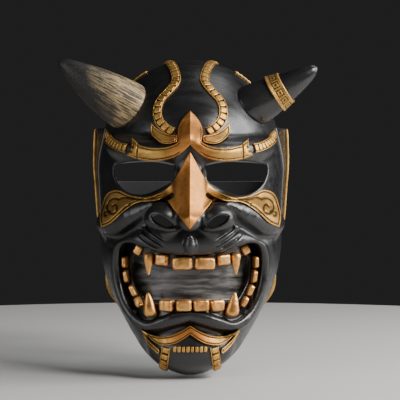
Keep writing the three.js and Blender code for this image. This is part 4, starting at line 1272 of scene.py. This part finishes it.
def make_ring():
    """A gilt band on the right horn, with raised edges and a row of square frets."""
    line = HornLine(HORNS["right"])

    def parts(p):
        t, r, angle = line.around(np.stack([c.ravel() for c in p], 1))
        along = (t - RING["from"]) / (RING["to"] - RING["from"])
        return [part.reshape(p[0].shape) for part in (along, r - line.radius(t), angle)]

    def cuts(along, angle):
        """Lines of a square fret between the raised edges."""
        across = (angle * HALF_TURN_FRETS / math.pi) % 1
        square = np.maximum(np.abs(across - 0.5) / 0.34, np.abs(along - 0.5) / 0.22)
        lines = np.maximum(groove(square - 1, 0.2), groove(square, 0.4))
        return lines * smoothstep(0.36, 0.30, np.abs(along - 0.5))

    def field(p):
        along, over, angle = parts(p)
        wide = (RING["to"] - RING["from"]) * line.length
        edge = np.abs(along - 0.5) * wide - wide / 2
        raised = 0.3 * smoothstep(0.34, 0.42, np.abs(along - 0.5))
        height = RING["wall"] - 0.1 + raised - 0.5 * cuts(along, angle)
        return smax(smax(edge, over - height, 0.7), -(over + 0.6), 0.3)

    piece = carve_node("right_horn_ring", field, TRIM_STEP, 2)
    p = points_of(piece).T
    along, over, angle = parts(tuple(p))
    wash = np.maximum(cuts(along, angle), 1 - smoothstep(0.2, 0.8, over))
    set_attribute(piece, "wash", np.clip(wash, 0, 1))
    return place(piece, "right_horn_ring", "gilt", MATERIALS["gilt"])


# ---------------------------------------- ears
EAR_EDGE = [[85.6, -13], [87.6, 2], [89.4, 27], [91, 51], [90.2, 83]]  # x, z of the back edge's outer face
EAR = {"back": -5, "front": -31, "thick": 2, "rim": 2.1, "rim_deep": 4.4}


def make_ear(side):
    """A flared plate, rippled a little at its back edge, and the gilt rim along that edge."""
    s = SIDES[side]
    edge = smooth_run(EAR_EDGE, 12, True)
    plate, rim = [], []
    turns = np.linspace(0, 1, 15)
    for i, (x, z) in enumerate(edge):
        end = min(i, len(edge) - 1 - i) / 3
        thick = EAR["thick"] * (0.55 + 0.45 * min(1, end))
        root = abs(FACE.meet((0, EAR["front"], z), (s, 0, 0))[0])
        middle = [lerp(root, x, 0.35) + 1, lerp(EAR["front"], EAR["back"], 0.5)]
        run = smooth_run([[root + 1.6 - 0.6, EAR["front"]], middle, [x, EAR["back"]]], 7, True)
        outer = run + [[0.15 * math.sin(7 * t), 0] for t in turns]
        inner = (run - [thick, 0])[::-1]
        plate.append([(s * u, y, z) for u, y in np.concatenate([outer, inner])])
        a = np.linspace(0, 2 * math.pi, 20, endpoint=False)
        ring = lambda v: np.sign(v) * np.abs(v) ** 0.55
        wide, deep = EAR["rim"] / 2 + 0.35, EAR["rim_deep"] / 2
        cx, cy = x + EAR["rim"] / 2 - 0.05, EAR["back"] - 1.2 + deep
        shrink = 0.6 + 0.4 * min(1, end)
        rim.append([(s * (cx + wide * shrink * p), cy + deep * shrink * q, z)
                    for p, q in zip(ring(np.cos(a)), ring(np.sin(a)))])
    points, faces = loft([np.array(r) for r in plate])
    ear = make_object(f"{side}_ear_fine", points, faces)
    place(ear, f"{side}_ear", "black_resin", MATERIALS["black"])
    heap = Heap()
    heap.add(*loft([np.array(r) for r in rim]), 0.0)
    place(heap.make(f"{side}_ear_rim_fine"), f"{side}_ear_rim", "gilt", MATERIALS["gilt"])


# ---------------------------------------- screws
def screw(node, head_radius, head_centre, axis, reach):
    """A pan-head screw with a hexagon socket; only the head shows inside the shell."""
    axis = unit(np.array(axis, float))
    centre = np.array(head_centre, float)
    side = unit(np.cross(axis, [0.3, 0.2, 1]))
    other = np.cross(axis, side)

    def field(p):
        q = [c - m for c, m in zip(p, centre)]
        along = sum(c * a for c, a in zip(q, axis))
        u, w = sum(c * a for c, a in zip(q, side)), sum(c * a for c, a in zip(q, other))
        r = np.hypot(u, w)
        head = smax(r - head_radius, np.abs(along) - 1.4, 1.0)
        shank = np.maximum(r - 1.85, np.abs(along - reach / 2) - reach / 2)
        thread = 0.12 * np.sin(along * 2 * math.pi / 0.7)
        turns = [k * math.pi / 3 for k in range(3)]
        hexagon = np.max([np.abs(u * math.cos(a) + w * math.sin(a)) for a in turns], 0)
        socket = np.maximum(hexagon - head_radius * 0.42, along + 0.2)
        return smax(np.minimum(head, shank + thread), -socket, 0.3)

    return place(carve_node(node, field, SCREW_STEP), node, "steel", MATERIALS["steel"])


def make_screws():
    for side, s in SIDES.items():
        line = HornLine(HORNS[side])
        wall = HOLLOW.meet(line.base - 80 * line.axis, line.axis, 120)
        screw(f"{side}_horn_screw", 4.6, wall - 4.2 * line.axis, line.axis, 34)
        screw(f"{side}_strap_screw", 4.4, (s * 77.3, *PIVOT[1:]), (s, 0, 0), 6.2)


# ---------------------------------------- strap and its fittings
PIVOT = (82, -14, 22)  # the right end of the axis that the strap swings about
STRAP = {"width": 25, "thick": 1.5, "inner": 77.1, "outer": 81.4, "tail": 64}
STRAP_LINE = {"turn": 17.4, "straight_end": 66, "depth": 38}
TAB = {"inner": 78.4, "thick": 2, "back": 22, "half": 15.5, "nose": 9}
TAB_SLOT = {"front": 13.2, "back": 17.9, "half": 13.2}
SLIDER = {"y": 42, "length": 9, "half": 16.4, "wall": 1.7, "slot_half": 13.1, "slot_wide": 1.25}


def strap_line():
    """The band in plan: a folded tail, round the tab's back bar, straight back, and round behind the head."""
    middle, turn = (STRAP["outer"] + STRAP["inner"]) / 2, (STRAP["outer"] - STRAP["inner"]) / 2
    tail = [(STRAP["outer"], y) for y in np.linspace(STRAP["tail"], STRAP_LINE["turn"] + 1, 26)]
    bend = [(middle + turn * math.cos(a), STRAP_LINE["turn"] - turn * math.sin(a))
            for a in np.linspace(0, math.pi, 13)]
    straight = [(STRAP["inner"], y)
                for y in np.linspace(STRAP_LINE["turn"] + 1, STRAP_LINE["straight_end"], 26)]
    behind = [(STRAP["inner"] * math.cos(a), STRAP_LINE["straight_end"] + STRAP_LINE["depth"] * math.sin(a))
              for a in np.linspace(0, math.pi / 2, 44)[1:]]
    half = tail + bend + straight + behind
    return np.array(half + [(-x, y) for x, y in half[-2::-1]])


def box_2d(u, v, low, high, corner):
    """Distance to a flat rectangle with round corners."""
    du = np.abs(u - (low[0] + high[0]) / 2) - (high[0] - low[0]) / 2 + corner
    dv = np.abs(v - (low[1] + high[1]) / 2) - (high[1] - low[1]) / 2 + corner
    return np.hypot(np.maximum(du, 0), np.maximum(dv, 0)) + np.minimum(np.maximum(du, dv), 0) - corner


def make_strap():
    """Woven elastic with lengthwise cords, flat on both faces and round at its edges."""
    line = strap_line()
    cords, half, width = 21, STRAP["thick"] / 2 - 0.12, STRAP["width"]
    across = np.linspace(-1, 1, cords * 4 + 1)
    ridge = 0.5 - 0.5 * np.cos((across + 1) / 2 * cords * 2 * math.pi)
    edge = np.sqrt(np.clip(1 - np.clip((np.abs(across) - 0.965) / 0.035, 0, 1) ** 2, 0.02, 1))
    along = np.concatenate([[0], np.cumsum(np.linalg.norm(np.diff(line, axis=0), axis=1))])
    way = np.gradient(line, axis=0)
    normal = np.stack([way[:, 1], -way[:, 0]], 1) / np.linalg.norm(way, axis=1)[:, None]
    sections, rib = [], []
    for (x, y), (nx, ny), run in zip(line, normal, along):
        weave = 0.03 * np.sin(run * 3.1 + np.arange(len(across)) % 2 * math.pi)
        thick = (half + 0.12 * ridge + weave) * edge
        z = PIVOT[2] + across * width / 2
        face = np.stack([x + nx * thick, y + ny * thick, z], 1)
        back = np.stack([x - nx * thick, y - ny * thick, z], 1)[::-1]
        sections.append(np.concatenate([face, back]))
        rib.append(np.concatenate([ridge, ridge[::-1]]))
    points, faces = loft(sections)
    strap = make_object("back_strap_fine", points, faces)
    set_attribute(strap, "rib", np.concatenate(rib))
    place(strap, "back_strap", "webbing", MATERIALS["webbing"], "strap")


def make_tab(side):
    """A round-nosed plate on the strap screw, with a slot for the band and a raised line round its edge."""
    s = SIDES[side]

    def field(p):
        x, y, z = p
        z = z - PIVOT[2]
        nose = np.hypot(y - PIVOT[1], z) - TAB["nose"]
        web = box_2d(y, z, (PIVOT[1], -TAB["nose"]), (6, TAB["nose"]), 0.5)
        plate = box_2d(y, z, (3, -TAB["half"]), (TAB["back"], TAB["half"]), 2.5)
        flat = smin(smin(nose, web, 1), plate, 5)
        slot = box_2d(y, z, (TAB_SLOT["front"], -TAB_SLOT["half"]), (TAB_SLOT["back"], TAB_SLOT["half"]), 0.8)
        flat = smax(flat, -slot, 0.6)
        sheet = np.abs(s * x - TAB["inner"] - TAB["thick"] / 2) - TAB["thick"] / 2
        ridge = 0.25 * groove(flat + 2.2, 0.5)
        return smax(flat, sheet - ridge * (np.abs(s * x) > TAB["inner"] + 1) + 0.05, 0.9)

    piece = carve_node(f"{side}_strap_tab", field, TAB_STEP)
    place(piece, f"{side}_strap_tab", "black_plastic", MATERIALS["plastic"], "strap")


def make_slider(side):
    """A bar slide with two slots; the outer face has grip lines."""
    s = SIDES[side]

    def field(p):
        x, y, z = s * p[0], p[1] - SLIDER["y"], p[2] - PIVOT[2]
        low, high = STRAP["inner"] - 1.3 - SLIDER["wall"], STRAP["outer"] + 1.3 + SLIDER["wall"]
        body = box_2d(x, z, (low, -SLIDER["half"]), (high, SLIDER["half"]), 1.8)
        wide, tall = SLIDER["slot_wide"], SLIDER["slot_half"]
        for middle in (STRAP["inner"], STRAP["outer"]):
            slot = box_2d(x, z, (middle - wide, -tall), (middle + wide, tall), 0.5)
            body = smax(body, -slot, 0.5)
        grip = 0.3 * groove(np.abs(y % 2 - 1), 0.35) * (x > high - 1) * (np.abs(z) < SLIDER["half"] - 3)
        return smax(body + grip, np.abs(y) - SLIDER["length"] / 2 + 0.05, 1.2)

    piece = carve_node(f"{side}_strap_slider", field, SLIDER_STEP)
    place(piece, f"{side}_strap_slider", "black_plastic", MATERIALS["plastic"], f"{side}_slider")


# ---------------------------------------- pads
PAD_DRAWN_IN = 0.965  # the size of the cloth's start, as a part of the CAD block's
PAD_VOXEL = 0.003  # in metres
PAD_FRAMES = 20
PAD_SWELL = 0.9  # the most that a point of the cloth may move


def bake_shape(piece):
    """Puts what the modifiers make of the piece into its own mesh."""
    bpy.context.view_layer.update()
    shown = piece.evaluated_get(bpy.context.evaluated_depsgraph_get())
    mesh = bpy.data.meshes.new_from_object(shown)
    piece.modifiers.clear()
    piece.data = mesh


def make_pad(node):
    """Cloth-faced foam: the block's own shape, drawn in a little and then filled until the cloth is round."""
    source = bpy.data.objects[node]
    piece = bpy.data.objects.new(node + "_fine", source.data.copy())
    piece.matrix_world = source.matrix_world.copy()
    bpy.context.scene.collection.objects.link(piece)
    points = np.array([piece.matrix_world @ v.co for v in piece.data.vertices]) / MM
    middle = points.mean(0)
    points = middle + (points - middle) * PAD_DRAWN_IN
    piece.matrix_world = Matrix.Identity(4)
    move_points(piece, points)
    remesh = piece.modifiers.new("even", "REMESH")
    remesh.mode, remesh.voxel_size = "VOXEL", PAD_VOXEL
    bake_shape(piece)
    start = points_of(piece)
    cloth = piece.modifiers.new("filling", "CLOTH")
    cloth.settings.quality = 6
    cloth.settings.mass = 0.2
    cloth.settings.tension_stiffness = cloth.settings.compression_stiffness = 12
    cloth.settings.use_pressure = True
    cloth.settings.uniform_pressure_force = 4
    cloth.settings.effector_weights.gravity = 0
    cloth.point_cache.frame_end = PAD_FRAMES
    for frame in range(1, PAD_FRAMES + 1):
        bpy.context.scene.frame_set(frame)
    bake_shape(piece)
    bpy.context.scene.frame_set(1)
    moved = points_of(piece) - start
    far = np.linalg.norm(moved, axis=1)[:, None]
    points = start + moved * np.minimum(1, PAD_SWELL / np.maximum(far, 1e-6))
    move_points(piece, points)
    smooth = piece.modifiers.new("smooth", "SUBSURF")
    smooth.levels = smooth.render_levels = 1
    bake_shape(piece)
    piece.data.polygons.foreach_set("use_smooth", [True] * len(piece.data.polygons))
    place(piece, node, "foam", MATERIALS["foam"])


# ---------------------------------------- the whole mask
shell()
make_trims()
make_strips()
make_teeth()
for side in SIDES:
    make_horn(side)
    make_ear(side)
make_ring()
make_screws()
make_strap()
for side in SIDES:
    make_tab(side)
    make_slider(side)
for node in ("forehead_pad", "left_cheek_pad", "right_cheek_pad"):
    make_pad(node)
make_camera()
make_stage()
